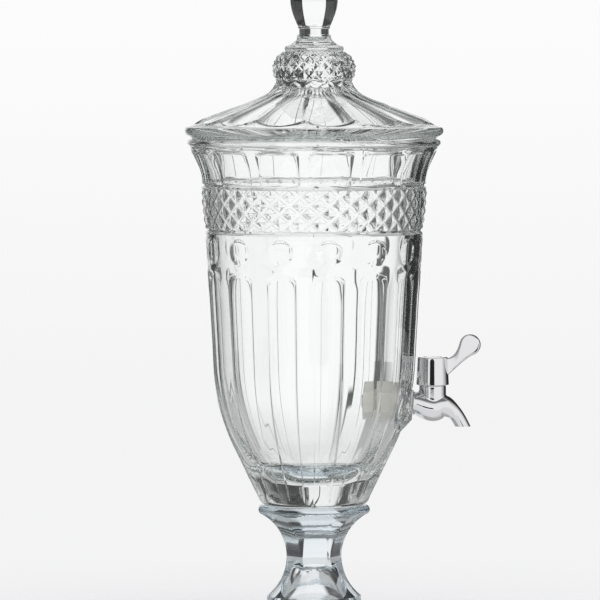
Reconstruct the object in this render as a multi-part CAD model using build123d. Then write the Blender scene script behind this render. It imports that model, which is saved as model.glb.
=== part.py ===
from build123d import *
import os
from math import cos, pi, sin

# Glass juice dispenser: a fluted jar on a faceted stand, with a panelled lid and a plug tap.
# Millimetres. +Z is up, the tap points along +X, and the origin is the centre of the foot's underside.

# Stand
foot_radius = 56.0
foot_edge_height = 5.0
foot_sag = 4.5
foot_ring_width = 14.0
plinth_radius = 33.0
plinth_low = 31.5
plinth_thickness = 2.8
plinth_wall = 15.0
waist_radius = 19.4
waist_height = 61.0
stem_wall = 7.0
hollow_headroom = 7.0
hollow_top_curve = 5.0
hollow_flare_curve = 60.0
collar_radius = 38.2
collar_roll = 1.0
collar_thickness = 6.0
stand_height = 98.0
stem_sides = 6
stem_turn = 40.4
facet_spread = 6.0

# Seat of the jar in the stand
collar_wall = 5.2
seat_depth = 2.0
seat_clearance = 0.4
collar_gap = 0.4

# Jar: radii, and heights above the shoulder that stands over the collar
panel_count = 14
base_overhang = 4.4
base_curve = 5.6
body_top_radius = 76.2
body_top_rise = 190.2
knee_setback = 6.9
knee_rise = 66.6
knee_curve = 150.0
groove_depth = 1.6
groove_width = 3.8
band_step = 0.2
band_height = 28.1
band_bulge = 0.7
band_taper = 2.6
flare_groove_width = 2.9
flare_step = 0.4
flare_height = 24.2
flare_sag = 1.4
flare_spread = 8.6
lip_roll = 1.4
lip_height = 5.2
rim_setback = 1.2

# Jar, inside
wall = 6.6
floor_thickness = 15.0
bowl_setback = 4.0
bowl_depth = 11.0
inner_knee_curve = 110.0
rim_wall = 6.7
mouth_depth = 8.0
mouth_curve = 12.0
flare_curve = 40.0

# Cut panels of the jar
flute_depth = 1.0
flute_low_rise = 8.6
flute_top_drop = 24.1
flute_arch_rise = 5.0
flute_land = 3.8
flare_panel_depth = 1.1
flare_panel_drop = 2.6
flare_panel_arch_rise = 7.0
flare_land = 5.0

# Lid: radii, and heights above the jar's rim
lid_lip_setback = 0.2
lid_lip_rise = 2.6
lid_rest_setback = 1.0
lid_overhang = 3.6
lid_edge_rise = 8.2
lid_shoulder_setback = 6.6
lid_shoulder_rise = 14.5
lid_sag = 3.0
lid_land_radius = 26.6
lid_land_rise = 42.0
lid_wall = 6.0
spigot_clearance = 0.6
spigot_depth = 6.0
spigot_wall = 5.4
petal_reach = 2.5
petal_root_setback = 4.0

# Knob: radii and heights, stacked up from the land that it is bonded to
ball_overhang = 2.8
ball_rise = 10.0
disc_setback = 5.9
disc_rise = 20.7
disc_thickness = 3.3
knob_flare_height = 4.7
knob_flare_sag = 1.2
knob_collar_step = 1.2
knob_collar_height = 3.7
neck_radius = 10.4
neck_height = 3.8
drop_swell = 6.2
drop_swell_height = 21.0
drop_crown_height = 24.7
drop_sides = 6
drop_turn = 34.9

# Tap: places along its run from the jar, and heights above its centre line
tap_above_knee = 5.0
seat_face_radius = 8.1
belly_radius = 9.3
belly_drop = 3.7
bend_radius = 7.2
bend_reach = 10.4
bend_slope = 18.0
fall_radius = 5.9
fall_reach = 17.4
fall_drop = 7.4
fall_slope = 52.0
spout_radius = 5.05
spout_reach = 22.8
spout_drop = 20.0
spout_slope = 66.0
outlet_drop = 16.4
shank_radius = 5.5
shank_bore = 3.5
spout_bore = 3.6
neck_wall = 1.6
neck_rise = 12.3

# Tap handle
handle_gap = 0.3
handle_standoff = 2.5
handle_lip = 1.6
handle_taper = 0.9
handle_edge = 0.8
paddle_reach = 26.2
paddle_rise = 7.3
paddle_radius = 7.4
lever_thickness = 4.6
lever_top_drop = 0.8
lever_root_width = 11.0
lever_waist = 1.7

# Valve inside the tap
plug_radius = 6.5
plug_floor_drop = 10.5
plug_floor_gap = 0.1
running_clearance = 0.05
port_radius = 3.2
ring_thickness = 1.5
ring_inset = 2.6
stem_radius = 4.5
stem_clearance = 0.1
square_width = 6.4
square_height = 9.4
square_clearance = 0.05
retainer_shoulder = 1.7
retainer_thickness = 2.6
retainer_gap = 0.2
screw_radius = 1.9
screw_clearance = 0.1
screw_length = 10.0
screw_tip_gap = 1.0
screw_head_gap = 1.2
socket_roof = 5.0
screw_head_radius = 3.6
screw_head_height = 2.4
screw_slot_width = 1.0
screw_slot_depth = 1.1
cover_radius = 6.6
cover_thickness = 1.6
cover_clearance = 0.05

# Fixing of the tap to the jar
boss_setback = 0.7
boss_margin = 3.4
boss_spread = 9.7
boss_height = 9.1
pad_rise = 2.9
pad_margin = 0.6
hole_clearance = 0.5
washer_clearance = 0.2
outer_washer_lip = 0.8
outer_washer_thickness = 1.2
inner_washer_setback = 1.4
inner_washer_thickness = 2.0
nut_washer_setback = 2.0
nut_washer_thickness = 1.4
nut_corner_radius = 14.4
nut_length = 24.0
nut_sides = 6
nut_edge = 1.2
thread_clearance = 0.1
shank_past_nut = 2.0

# Places that follow from those sizes
seat_floor = stand_height - seat_depth
seat_radius = collar_radius - collar_wall
jar_foot_radius = seat_radius - seat_clearance
jar_shoulder = stand_height + collar_gap
base_radius = jar_foot_radius + base_overhang
bowl_radius = base_radius - bowl_setback
knee_height = jar_shoulder + knee_rise
knee_radius = body_top_radius - knee_setback
body_top = jar_shoulder + body_top_rise
band_foot = body_top + groove_width
band_foot_radius = body_top_radius + band_step
band_top = band_foot + band_height
band_top_radius = band_foot_radius + band_taper
flare_foot = band_top + flare_groove_width
flare_foot_radius = band_top_radius - flare_step
flare_top = flare_foot + flare_height
flare_top_radius = flare_foot_radius + flare_spread
rim = flare_top + lip_height
rim_land_radius = flare_top_radius - rim_setback
mouth_radius = flare_top_radius - rim_wall
half_pitch = pi / panel_count
flute_half_width = knee_radius * sin(half_pitch) - flute_land / 2
flare_panel_half_width = flare_foot_radius * sin(half_pitch) - flare_land / 2
lid_rest_radius = rim_land_radius - lid_rest_setback
lid_lip_radius = flare_top_radius - lid_lip_setback
lid_radius = lid_lip_radius + lid_overhang
lid_shoulder_radius = lid_radius - lid_shoulder_setback
petal_tip_radius = lid_shoulder_radius + petal_reach
petal_root_radius = lid_shoulder_radius - petal_root_setback
lid_land = rim + lid_land_rise
far = 2 * lid_land
ball_radius = lid_land_radius + ball_overhang
disc_radius = lid_land_radius - disc_setback
knob_disc_top = lid_land + disc_rise + disc_thickness
knob_collar_radius = neck_radius + knob_collar_step
drop_radius = neck_radius + drop_swell
tap_height = knee_height + tap_above_knee
outer_washer_radius = seat_face_radius + outer_washer_lip
boss_radius = outer_washer_radius + boss_margin
boss_root_radius = boss_radius + boss_spread
boss_face = knee_radius - boss_setback
pad_face = knee_radius - wall - pad_rise
pad_radius = nut_corner_radius + pad_margin
retainer_radius = plug_radius + retainer_shoulder
neck_wall_radius = retainer_radius + neck_wall
handle_low_radius = neck_wall_radius + handle_lip
handle_top_radius = handle_low_radius - handle_taper
tap_seat = boss_face + outer_washer_thickness
tap_axis = knee_radius + handle_low_radius + handle_standoff
neck_top = tap_height + neck_rise
handle_low = neck_top + handle_gap
square_top = handle_low + square_height
screw_seat = square_top + socket_roof
screw_head_top = screw_seat + screw_head_height
handle_top = screw_head_top + screw_head_gap + cover_thickness
plug_floor = tap_height - plug_floor_drop
plug_low = plug_floor + plug_floor_gap
retainer_low = neck_top - retainer_thickness
plug_top = retainer_low - retainer_gap
ring_low = plug_low + ring_inset
ring_high = plug_top - ring_inset
inner_washer_end = pad_face - inner_washer_thickness
nut_washer_end = inner_washer_end - nut_washer_thickness
nut_end = nut_washer_end - nut_length
shank_end = nut_end - shank_past_nut


def face_of(*outline):
    """Flat face inside a closed outline of lines and arcs."""
    return make_face(Curve() + list(outline))


def turned(*outline):
    """Solid of revolution about Z from an outline of (radius, height) lines."""
    return revolve(Plane.XZ * face_of(*outline), Axis.Z)


def across(half_width, *outline):
    """Prism with its outline in the (x, z) plane, reaching half_width to both sides of it."""
    return extrude(Plane.XZ * face_of(*outline), half_width, both=True)


def around(solid, count):
    """Copies of a solid, evenly spaced about Z, with the first where it stands."""
    return [Rot(0, 0, 360 / count * turn) * solid for turn in range(count)]


def faceted(sides, turn, *half_outline):
    """Many-sided solid whose opposite faces all follow one (distance, height) half-outline."""
    half = Curve() + list(half_outline)
    slab = across(far, half, half.mirror(Plane.YZ))
    solid = slab
    for step in range(1, sides // 2):
        solid = solid & (Rot(0, 0, 360 / sides * step) * slab)
    return Rot(0, 0, turn) * solid


def bar(radius, start, end):
    """Round bar along the tap's shank, from one place on X to another."""
    end_plane = Plane((start, 0, tap_height), x_dir=(0, 1, 0), z_dir=(1, 0, 0))
    return end_plane * Cylinder(radius, end - start, align=(Align.CENTER, Align.CENTER, Align.MIN))


def post(radius, low, high, x=0.0):
    """Round bar along Z, from one height to another."""
    return Pos(x, 0, low) * Cylinder(radius, high - low, align=(Align.CENTER, Align.CENTER, Align.MIN))


def arch(half_width, low, top, rise):
    """Prism along +X with an arched top, which bounds one cut panel."""
    spring = top - rise
    sides = Polyline((half_width, spring), (half_width, low), (-half_width, low), (-half_width, spring))
    crown = ThreePointArc((-half_width, spring), (0, top), (half_width, spring))
    return extrude(Plane.YZ * face_of(sides, crown), far)


def make_stand():
    plinth_high = plinth_low + plinth_thickness
    collar_low = stand_height - collar_thickness
    edge = Polyline((0, 0), (foot_radius, 0), (foot_radius, foot_edge_height))
    dome_middle = ((foot_radius + plinth_radius) / 2 - foot_sag, (foot_edge_height + plinth_low) / 2 - foot_sag)
    dome = ThreePointArc((foot_radius, foot_edge_height), dome_middle, (plinth_radius, plinth_low))
    plinth = Line((plinth_radius, plinth_low), (plinth_radius, plinth_high))
    spread = ThreePointArc((plinth_radius, plinth_high), (waist_radius, waist_height), (collar_radius, collar_low))
    collar_middle = (collar_radius + collar_roll, stand_height - collar_thickness / 2)
    collar = ThreePointArc((collar_radius, collar_low), collar_middle, (collar_radius - collar_roll, stand_height))
    top = Polyline((collar_radius - collar_roll, stand_height), (0, stand_height), (0, 0))
    round_stand = turned(edge, dome, plinth, spread, collar, top)

    # Concave facets on the stem, which run out where the plinth and the collar stand proud of them.
    facet = waist_radius * cos(pi / stem_sides)
    lower_end = (foot_radius, plinth_low)
    upper_end = (foot_radius, stand_height)
    lower_middle = (facet + facet_spread, (waist_height + plinth_low) / 2)
    upper_middle = (facet + facet_spread, (waist_height + stand_height) / 2)
    stem = faceted(
        stem_sides,
        stem_turn,
        Polyline((0, -1), (foot_radius, -1), lower_end),
        ThreePointArc(lower_end, lower_middle, (facet, waist_height)),
        ThreePointArc((facet, waist_height), upper_middle, upper_end),
        Polyline(upper_end, (foot_radius, far), (0, far)),
    )
    hollow_top = waist_height - hollow_headroom
    hollow_radius = foot_radius - foot_ring_width
    bell = FilletPolyline(
        (0, hollow_top),
        (facet - stem_wall, hollow_top),
        (plinth_radius - plinth_wall, plinth_low),
        (hollow_radius, 0),
        radius=[hollow_top_curve, hollow_flare_curve],
    )
    hollow = turned(bell, Polyline((hollow_radius, 0), (0, 0), (0, hollow_top)))
    return (round_stand & stem) - hollow - post(seat_radius, seat_floor, far)


def jar_wall(inset, low_point, top_point, curve):
    """Line of the jar's wall in the (radius, height) plane, inset from the outside at the knee."""
    knee = (knee_radius - inset, knee_height)
    return FilletPolyline(low_point, knee, top_point, radius=curve)


def make_jar_outside():
    flare_middle = ((flare_foot_radius + flare_top_radius) / 2 - flare_sag, (flare_foot + flare_top) / 2)
    band_middle = ((band_foot_radius + band_top_radius) / 2 + band_bulge, (band_foot + band_top) / 2)
    lip_middle = (flare_top_radius + lip_roll, (flare_top + rim) / 2)
    base = Polyline((0, seat_floor), (jar_foot_radius, seat_floor), (jar_foot_radius, jar_shoulder))
    body = FilletPolyline(
        (jar_foot_radius, jar_shoulder),
        (base_radius, jar_shoulder),
        (knee_radius, knee_height),
        (body_top_radius, body_top),
        radius=[base_curve, knee_curve],
    )
    groove = Polyline(
        (body_top_radius, body_top),
        (body_top_radius - groove_depth, (body_top + band_foot) / 2),
        (band_foot_radius, band_foot),
    )
    band = ThreePointArc((band_foot_radius, band_foot), band_middle, (band_top_radius, band_top))
    flare_groove = Polyline(
        (band_top_radius, band_top),
        (flare_foot_radius - groove_depth, (band_top + flare_foot) / 2),
        (flare_foot_radius, flare_foot),
    )
    flare = ThreePointArc((flare_foot_radius, flare_foot), flare_middle, (flare_top_radius, flare_top))
    lip = ThreePointArc((flare_top_radius, flare_top), lip_middle, (rim_land_radius, rim))
    top = Polyline((rim_land_radius, rim), (0, rim), (0, seat_floor))
    return turned(base, body, groove, band, flare_groove, flare, lip, top)


def make_jar_cavity():
    floor = seat_floor + floor_thickness
    bowl_edge = (bowl_radius, floor + bowl_depth)
    bowl = TangentArc((0, floor), bowl_edge, tangent=(1, 0))
    side = FilletPolyline(
        bowl_edge,
        (knee_radius - wall, knee_height),
        (flare_foot_radius - wall, flare_foot),
        (mouth_radius, rim - mouth_depth),
        (mouth_radius, far),
        radius=[inner_knee_curve, flare_curve, mouth_curve],
    )
    axis = Polyline((mouth_radius, far), (0, far), (0, floor))
    return turned(bowl, side, axis)


def make_flute():
    """Cutter for one tall flute: straight across, arched on top, running out at the jar's base."""
    low = jar_shoulder + flute_low_rise
    slope = (knee_radius - base_radius) / (knee_height - jar_shoulder)
    run_out = (base_radius + slope * flute_low_rise, low)
    top = (body_top_radius - flute_depth, body_top)
    line = jar_wall(flute_depth, run_out, top, knee_curve)
    outside = Polyline(top, (far, body_top), (far, low), run_out)
    bounds = arch(flute_half_width, low - 1, body_top - flute_top_drop, flute_arch_rise)
    return across(2 * flute_half_width, line, outside) & bounds


def make_flare_panel():
    """Cutter for one panel of the flared rim, with an arched top."""
    low = (flare_foot_radius - flare_panel_depth, flare_foot)
    high = (flare_top_radius - flare_panel_depth, flare_top)
    middle = ((low[0] + high[0]) / 2 - flare_sag, (flare_foot + flare_top) / 2)
    outside = Polyline(high, (far, flare_top), (far, flare_foot), low)
    bounds = arch(flare_panel_half_width, flare_foot, flare_top - flare_panel_drop, flare_panel_arch_rise)
    return across(2 * flare_panel_half_width, ThreePointArc(low, middle, high), outside) & bounds


def make_vessel():
    jar = make_jar_outside() - around(make_flute(), panel_count) - around(make_flare_panel(), panel_count)
    boss_plane = Plane((boss_face - boss_height, 0, tap_height), x_dir=(0, 1, 0), z_dir=(1, 0, 0))
    boss = boss_plane * Cone(
        boss_root_radius, boss_radius, boss_height, align=(Align.CENTER, Align.CENTER, Align.MIN)
    )
    cavity = make_jar_cavity() - bar(pad_radius, pad_face, far) + bar(pad_radius, 0, pad_face)
    washer_seat = bar(outer_washer_radius + washer_clearance, boss_face, far)
    return jar + boss - cavity - washer_seat - bar(shank_radius + hole_clearance, 0, far)


def lid_line(share, lift, start, end):
    """Sagging line of the lid's slope, with radii drawn in by a share and heights moved by a lift."""
    middle = ((start[0] + end[0]) / 2 * share, (start[1] + end[1]) / 2 - lid_sag + lift)
    return ThreePointArc((start[0] * share, start[1] + lift), middle, (end[0] * share, end[1] + lift))


def make_lid_cover():
    spigot = mouth_radius - spigot_clearance
    spigot_inside = spigot - spigot_wall
    spigot_low = rim - spigot_depth
    land = (lid_land_radius, lid_land)
    shoulder = (lid_shoulder_radius, rim + lid_shoulder_rise)
    lip = (lid_lip_radius, rim + lid_lip_rise)
    ceiling = lid_land - lid_wall
    inner_edge = (spigot_inside, rim + lid_lip_rise)
    inner_land = (lid_land_radius - lid_wall, ceiling)
    cover = turned(
        Polyline((0, ceiling), (0, lid_land), land),
        lid_line(1, 0, land, shoulder),
        ThreePointArc(shoulder, (lid_radius, rim + lid_edge_rise), lip),
        Polyline(
            lip,
            (lid_rest_radius, rim),
            (spigot, rim),
            (spigot, spigot_low),
            (spigot_inside, spigot_low),
            inner_edge,
        ),
        lid_line(1, 0, inner_edge, inner_land),
        Line(inner_land, (0, ceiling)),
    )

    # Flat panels down the slope, with rounded petal ends near the rim.
    share = cos(half_pitch)
    high = (land[0] * share, far)
    wide = (shoulder[0] * share, far)
    panel = across(
        petal_root_radius,
        lid_line(share, 0, land, shoulder),
        Polyline((wide[0], shoulder[1]), wide, high, (high[0], land[1])),
    )
    half_width = petal_root_radius * sin(half_pitch)
    root = petal_root_radius * share
    petal_side = Polyline((root, half_width), (0, half_width), (0, -half_width), (root, -half_width))
    petal_end = ThreePointArc((root, -half_width), (petal_tip_radius, 0), (root, half_width))
    petal = extrude(face_of(petal_side, petal_end), far)
    return cover - around(panel & petal, panel_count)


def make_lid_knob():
    disc_low = lid_land + disc_rise
    collar_low = knob_disc_top + knob_flare_height
    collar_high = collar_low + knob_collar_height
    neck_high = collar_high + neck_height
    flare_middle = (
        (disc_radius + knob_collar_radius) / 2 - knob_flare_sag,
        (knob_disc_top + collar_low) / 2 - knob_flare_sag,
    )
    ball = turned(
        Polyline((0, disc_low), (0, lid_land), (lid_land_radius, lid_land)),
        ThreePointArc((lid_land_radius, lid_land), (ball_radius, lid_land + ball_rise), (disc_radius, disc_low)),
        Line((disc_radius, disc_low), (0, disc_low)),
    )
    collar = turned(
        Polyline((0, neck_high), (0, disc_low), (disc_radius, disc_low), (disc_radius, knob_disc_top)),
        ThreePointArc((disc_radius, knob_disc_top), flare_middle, (knob_collar_radius, collar_low)),
        Polyline(
            (knob_collar_radius, collar_low),
            (knob_collar_radius, collar_high),
            (neck_radius, collar_high),
            (neck_radius, neck_high),
            (0, neck_high),
        ),
    )

    # Six-sided drop: every face follows the same swelling outline.
    flat = cos(pi / drop_sides)
    drop_waist = neck_high + drop_swell_height
    widest = (drop_radius * flat, drop_waist)
    root = (neck_radius * flat, neck_high)
    tip = (0, drop_waist + drop_crown_height)
    swell = Spline(root, widest, tip, tangents=[(0.3, 1), (-1, 0.12)])
    drop = faceted(drop_sides, drop_turn, Line((0, neck_high), root), swell)
    return ball + collar + drop


def tap_section(reach, drop, slope, radius):
    """Round section across the tap's run, at a reach and a drop from the tap's centre."""
    centre = (tap_axis + reach, 0, tap_height - drop)
    direction = Vector(1, 0, 0).rotate(Axis.Y, slope)
    return Plane(centre, x_dir=(0, 1, 0), z_dir=direction) * Circle(radius)


def make_tap_body():
    run = loft(
        [
            tap_section(tap_seat - tap_axis, 0, 0, seat_face_radius),
            tap_section(0, belly_drop, 0, belly_radius),
            tap_section(bend_reach, 0, bend_slope, bend_radius),
            tap_section(fall_reach, fall_drop, fall_slope, fall_radius),
            tap_section(spout_reach, spout_drop, spout_slope, spout_radius),
        ]
    )
    waterway = loft(
        [
            tap_section(0, 0, 0, spout_bore),
            tap_section(bend_reach, 0, bend_slope, spout_bore),
            tap_section(fall_reach, fall_drop, fall_slope, spout_bore),
            tap_section(spout_reach, spout_drop, spout_slope, spout_bore),
        ]
    )
    below_outlet = post(spout_reach, 0, tap_height - outlet_drop, tap_axis + spout_reach)
    body = run + bar(shank_radius, shank_end, tap_axis) + post(neck_wall_radius, tap_height, neck_top, tap_axis)
    body = body - post(plug_radius, plug_floor, far, tap_axis)
    body = body - post(retainer_radius, retainer_low, far, tap_axis)
    return body - bar(shank_bore, 0, tap_axis) - waterway - below_outlet


def square_post(width, low, high):
    """Square bar along the plug's axis, from one height to another."""
    return Pos(tap_axis, 0, low) * Box(
        width, width, high - low, align=(Align.CENTER, Align.CENTER, Align.MIN)
    )


def ring_seat(height, clearance):
    """Ring round the plug, as the rubber ring itself or as its groove with a clearance."""
    tube = ring_thickness / 2 + clearance
    centre = plug_radius - running_clearance - ring_thickness / 2
    return Pos(tap_axis, 0, height) * Torus(centre, tube)


def make_valve_plug():
    radius = plug_radius - running_clearance
    plug = post(radius, plug_low, plug_top, tap_axis)
    plug = plug + post(stem_radius, plug_top, handle_low, tap_axis)
    plug = plug + square_post(square_width, handle_low, square_top)
    port = Plane((tap_axis, 0, tap_height), z_dir=(0, 1, 0)) * Cylinder(port_radius, 2 * plug_radius + 1)
    hole_end = screw_seat - screw_length - screw_tip_gap
    screw_hole = post(screw_radius + screw_clearance, hole_end, far, tap_axis)
    grooves = [ring_seat(height, running_clearance) for height in (ring_low, ring_high)]
    return plug - port - screw_hole - grooves


def make_plug_retainer():
    ring = post(retainer_radius, retainer_low, neck_top, tap_axis)
    return ring - post(stem_radius + stem_clearance, retainer_low, far, tap_axis)


def make_tap_handle():
    height = handle_top - handle_low
    cap = Pos(tap_axis, 0, handle_low) * Cone(
        handle_low_radius, handle_top_radius, height, align=(Align.CENTER, Align.CENTER, Align.MIN)
    )
    cap = chamfer(cap.edges().sort_by(Axis.Z)[-1], handle_edge)
    paddle = (tap_axis + paddle_reach, handle_top + paddle_rise)
    upper_root = (tap_axis + handle_top_radius - handle_edge, handle_top - lever_top_drop)
    lower_root = (tap_axis + handle_top_radius, upper_root[1] - lever_root_width)
    upper_tip = (paddle[0] - paddle_radius * 0.8, paddle[1] + paddle_radius * 0.6)
    lower_tip = (paddle[0], paddle[1] - paddle_radius)
    upper_middle = (
        (upper_root[0] + upper_tip[0]) / 2 + lever_waist,
        (upper_root[1] + upper_tip[1]) / 2 - lever_waist,
    )
    lower_middle = (
        (lower_root[0] + lower_tip[0]) / 2 - lever_waist / 2,
        (lower_root[1] + lower_tip[1]) / 2 + lever_waist / 2,
    )
    arm = across(
        lever_thickness / 2,
        Polyline((tap_axis, lower_root[1]), (tap_axis, upper_root[1]), upper_root),
        ThreePointArc(upper_root, upper_middle, upper_tip),
        Polyline(upper_tip, paddle, lower_tip),
        ThreePointArc(lower_tip, lower_middle, lower_root),
        Line(lower_root, (tap_axis, lower_root[1])),
    )
    disc = extrude(Plane.XZ * (Pos(*paddle) * Circle(paddle_radius)), lever_thickness / 2, both=True)
    handle = cap + arm + disc
    socket = square_post(square_width + 2 * square_clearance, 0, square_top + square_clearance)
    screw_hole = post(screw_radius + screw_clearance, 0, far, tap_axis)
    head_room = post(screw_head_radius + screw_clearance, screw_seat, far, tap_axis)
    cover_seat = post(cover_radius, handle_top - cover_thickness, far, tap_axis)
    return handle - socket - screw_hole - head_room - cover_seat


def make_handle_screw():
    screw = post(screw_radius, screw_seat - screw_length, screw_seat, tap_axis)
    screw = screw + post(screw_head_radius, screw_seat, screw_head_top, tap_axis)
    slot = Pos(tap_axis, 0, screw_head_top) * Box(4 * screw_head_radius, screw_slot_width, 2 * screw_slot_depth)
    return screw - slot


def make_screw_cover():
    disc = post(cover_radius - cover_clearance, handle_top - cover_thickness, handle_top, tap_axis)
    return chamfer(disc.edges().sort_by(Axis.Z)[-1], handle_edge / 2)


def washer(radius, start, end):
    """Flat washer on the shank between two places."""
    return bar(radius, start, end) - bar(shank_radius + washer_clearance, 0, far)


def make_lock_nut():
    end_plane = Plane((nut_end, 0, tap_height), x_dir=(0, 1, 0), z_dir=(1, 0, 0))
    blank = end_plane * extrude(RegularPolygon(nut_corner_radius, nut_sides), nut_length)
    ends = blank.edges().filter_by(Axis.X, reverse=True)
    return chamfer(ends, nut_edge) - bar(shank_radius + thread_clearance, 0, far)


pieces = {
    "stand": make_stand(),
    "vessel": make_vessel(),
    "lid_cover": make_lid_cover(),
    "lid_knob": make_lid_knob(),
    "tap_body": make_tap_body(),
    "valve_plug": make_valve_plug(),
    "plug_ring_lower": ring_seat(ring_low, 0),
    "plug_ring_upper": ring_seat(ring_high, 0),
    "plug_retainer": make_plug_retainer(),
    "tap_handle": make_tap_handle(),
    "handle_screw": make_handle_screw(),
    "screw_cover": make_screw_cover(),
    "outer_washer": washer(outer_washer_radius, boss_face, tap_seat),
    "inner_washer": washer(nut_corner_radius - inner_washer_setback, inner_washer_end, pad_face),
    "nut_washer": washer(nut_corner_radius - nut_washer_setback, nut_washer_end, inner_washer_end),
    "lock_nut": make_lock_nut(),
}

os.makedirs("parts", exist_ok=True)
for name, solid in pieces.items():
    export_step(solid, f"parts/{name}.step")
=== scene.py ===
import math

import bpy
from mathutils import Matrix, Vector
from mathutils.geometry import interpolate_bezier


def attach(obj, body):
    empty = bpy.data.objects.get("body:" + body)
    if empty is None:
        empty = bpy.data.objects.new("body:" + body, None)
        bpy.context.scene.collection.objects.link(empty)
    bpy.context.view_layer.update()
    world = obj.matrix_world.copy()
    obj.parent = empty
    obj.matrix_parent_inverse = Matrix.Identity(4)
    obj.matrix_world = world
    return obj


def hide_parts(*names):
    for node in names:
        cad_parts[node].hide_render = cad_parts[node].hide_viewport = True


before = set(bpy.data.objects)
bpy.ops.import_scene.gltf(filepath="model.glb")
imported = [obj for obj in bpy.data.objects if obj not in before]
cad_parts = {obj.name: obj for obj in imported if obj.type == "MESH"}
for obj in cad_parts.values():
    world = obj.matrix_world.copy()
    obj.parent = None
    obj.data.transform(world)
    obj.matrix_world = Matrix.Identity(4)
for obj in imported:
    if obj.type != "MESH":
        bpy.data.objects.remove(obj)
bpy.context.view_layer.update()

# Stand: a pedestal of faintly blue glass, pressed in a mould with a bell-shaped plunger from below.
# It has a round foot, a six-sided waisted stem and a round collar with a shallow seat for the jar.
# Sizes here and in the other sections are millimetres; mesh_piece() makes metres of them.
MILLIMETRE = 0.001
FOOT_RADIUS = 56.0
FOOT_EDGE = 5.0
FOOT_SAG = 4.5
HOLLOW_RADIUS = 42.0
HOLLOW_KNEE = (18.0, 31.5)
HOLLOW_TOP_RADIUS = 9.8
HOLLOW_TOP = 54.0
PLINTH_RADIUS = 33.0
PLINTH_LOW = 31.5
PLINTH_HIGH = 34.3
WAIST_RADIUS = 19.4
WAIST_HEIGHT = 61.0
COLLAR_RADIUS = 38.2
COLLAR_ROLL = 1.0
COLLAR_LOW = 92.0
STAND_TOP = 98.0
SEAT_RADIUS = 33.0
SEAT_FLOOR = 96.0
STEM_SIDES = 6
STEM_TURN = math.radians(40.4)
STEM_COLUMNS = 40
FACET_SPREAD = 6.0
STEM_EDGE_BLEND = 0.5
STEM_CORE = 14.8
HOLLOW_FLAT = 6.0
HOLLOW_EDGE = 5.0
HOLLOW_BELL = 60.0
HEEL = 0.8
FOOT_LOW_EDGE = 1.2
FOOT_TOP_EDGE = 1.5
SEAT_EDGE = 0.4
# Distance in metres at which the edges of neighbouring sectors are welded
WELD = 1e-6
# Angle between faces from which an edge stays sharp
CREASE = math.radians(30)


def circle_through(first, second, third):
    """Centre and radius of the circle through three points of an outline."""
    (ax, ay), (bx, by), (cx, cy) = first, second, third
    det = 2 * (ax * (by - cy) + bx * (cy - ay) + cx * (ay - by))
    a2 = ax * ax + ay * ay
    b2 = bx * bx + by * by
    c2 = cx * cx + cy * cy
    x = (a2 * (by - cy) + b2 * (cy - ay) + c2 * (ay - by)) / det
    y = (a2 * (cx - bx) + b2 * (ax - cx) + c2 * (bx - ax)) / det
    return x, y, math.hypot(ax - x, ay - y)


def straight(start, end, steps):
    """Points from start towards end, without the end itself."""
    shares = [step / steps for step in range(steps)]
    return [(start[0] + (end[0] - start[0]) * s, start[1] + (end[1] - start[1]) * s) for s in shares]


def arc(start, middle, end, steps):
    """Points on the arc through three points, without the end itself."""
    x, y, radius = circle_through(start, middle, end)
    first = math.atan2(start[1] - y, start[0] - x)
    turn = (math.atan2(end[1] - y, end[0] - x) - first) % (2 * math.pi)
    if (math.atan2(middle[1] - y, middle[0] - x) - first) % (2 * math.pi) > turn:
        turn -= 2 * math.pi
    angles = [first + turn * step / steps for step in range(steps)]
    return [(x + radius * math.cos(a), y + radius * math.sin(a)) for a in angles]


def rounded(start, corner, end, radius, steps):
    """Points of the fillet that rounds a corner, with both of its ends."""
    into = (Vector(start) - Vector(corner)).normalized()
    away = (Vector(end) - Vector(corner)).normalized()
    half = into.angle(away) / 2
    reach = radius / math.tan(half)
    centre = Vector(corner) + (into + away).normalized() * (radius / math.sin(half))
    middle = centre + (Vector(corner) - centre).normalized() * radius
    first = tuple(Vector(corner) + into * reach)
    last = tuple(Vector(corner) + away * reach)
    return arc(first, tuple(middle), last, steps) + [last]


def soft_min(a, b, blend):
    """The smaller of two distances, with their crossing rounded over a blend."""
    overlap = max(blend - abs(a - b), 0.0) / blend
    return min(a, b) - overlap * overlap * blend / 4


def ramp(value, low, high):
    """0 at low, 1 at high, straight between them."""
    return min(max((value - low) / (high - low), 0.0), 1.0)


def soft_ramp(value, low, high):
    """0 at low, 1 at high, with a smooth rise between them."""
    share = ramp(value, low, high)
    return share * share * (3 - 2 * share)


def even_angles(start, end, columns):
    """Directions from start to end, both included."""
    return [start + (end - start) * column / columns for column in range(columns + 1)]


def rows_of(outline, angles, shape=None):
    """Rows of a sector: each (radius, height) swept through the angles and worked by a shape."""
    rows = []
    for radius, height in outline:
        if radius < 1e-6:
            rows.append(([0.0], [(0.0, 0.0, height)]))
            continue
        row = []
        for angle in angles:
            r, z = shape(angle, radius, height) if shape else (radius, height)
            row.append((r * math.cos(angle), r * math.sin(angle), z))
        rows.append((angles, row))
    return rows


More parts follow.
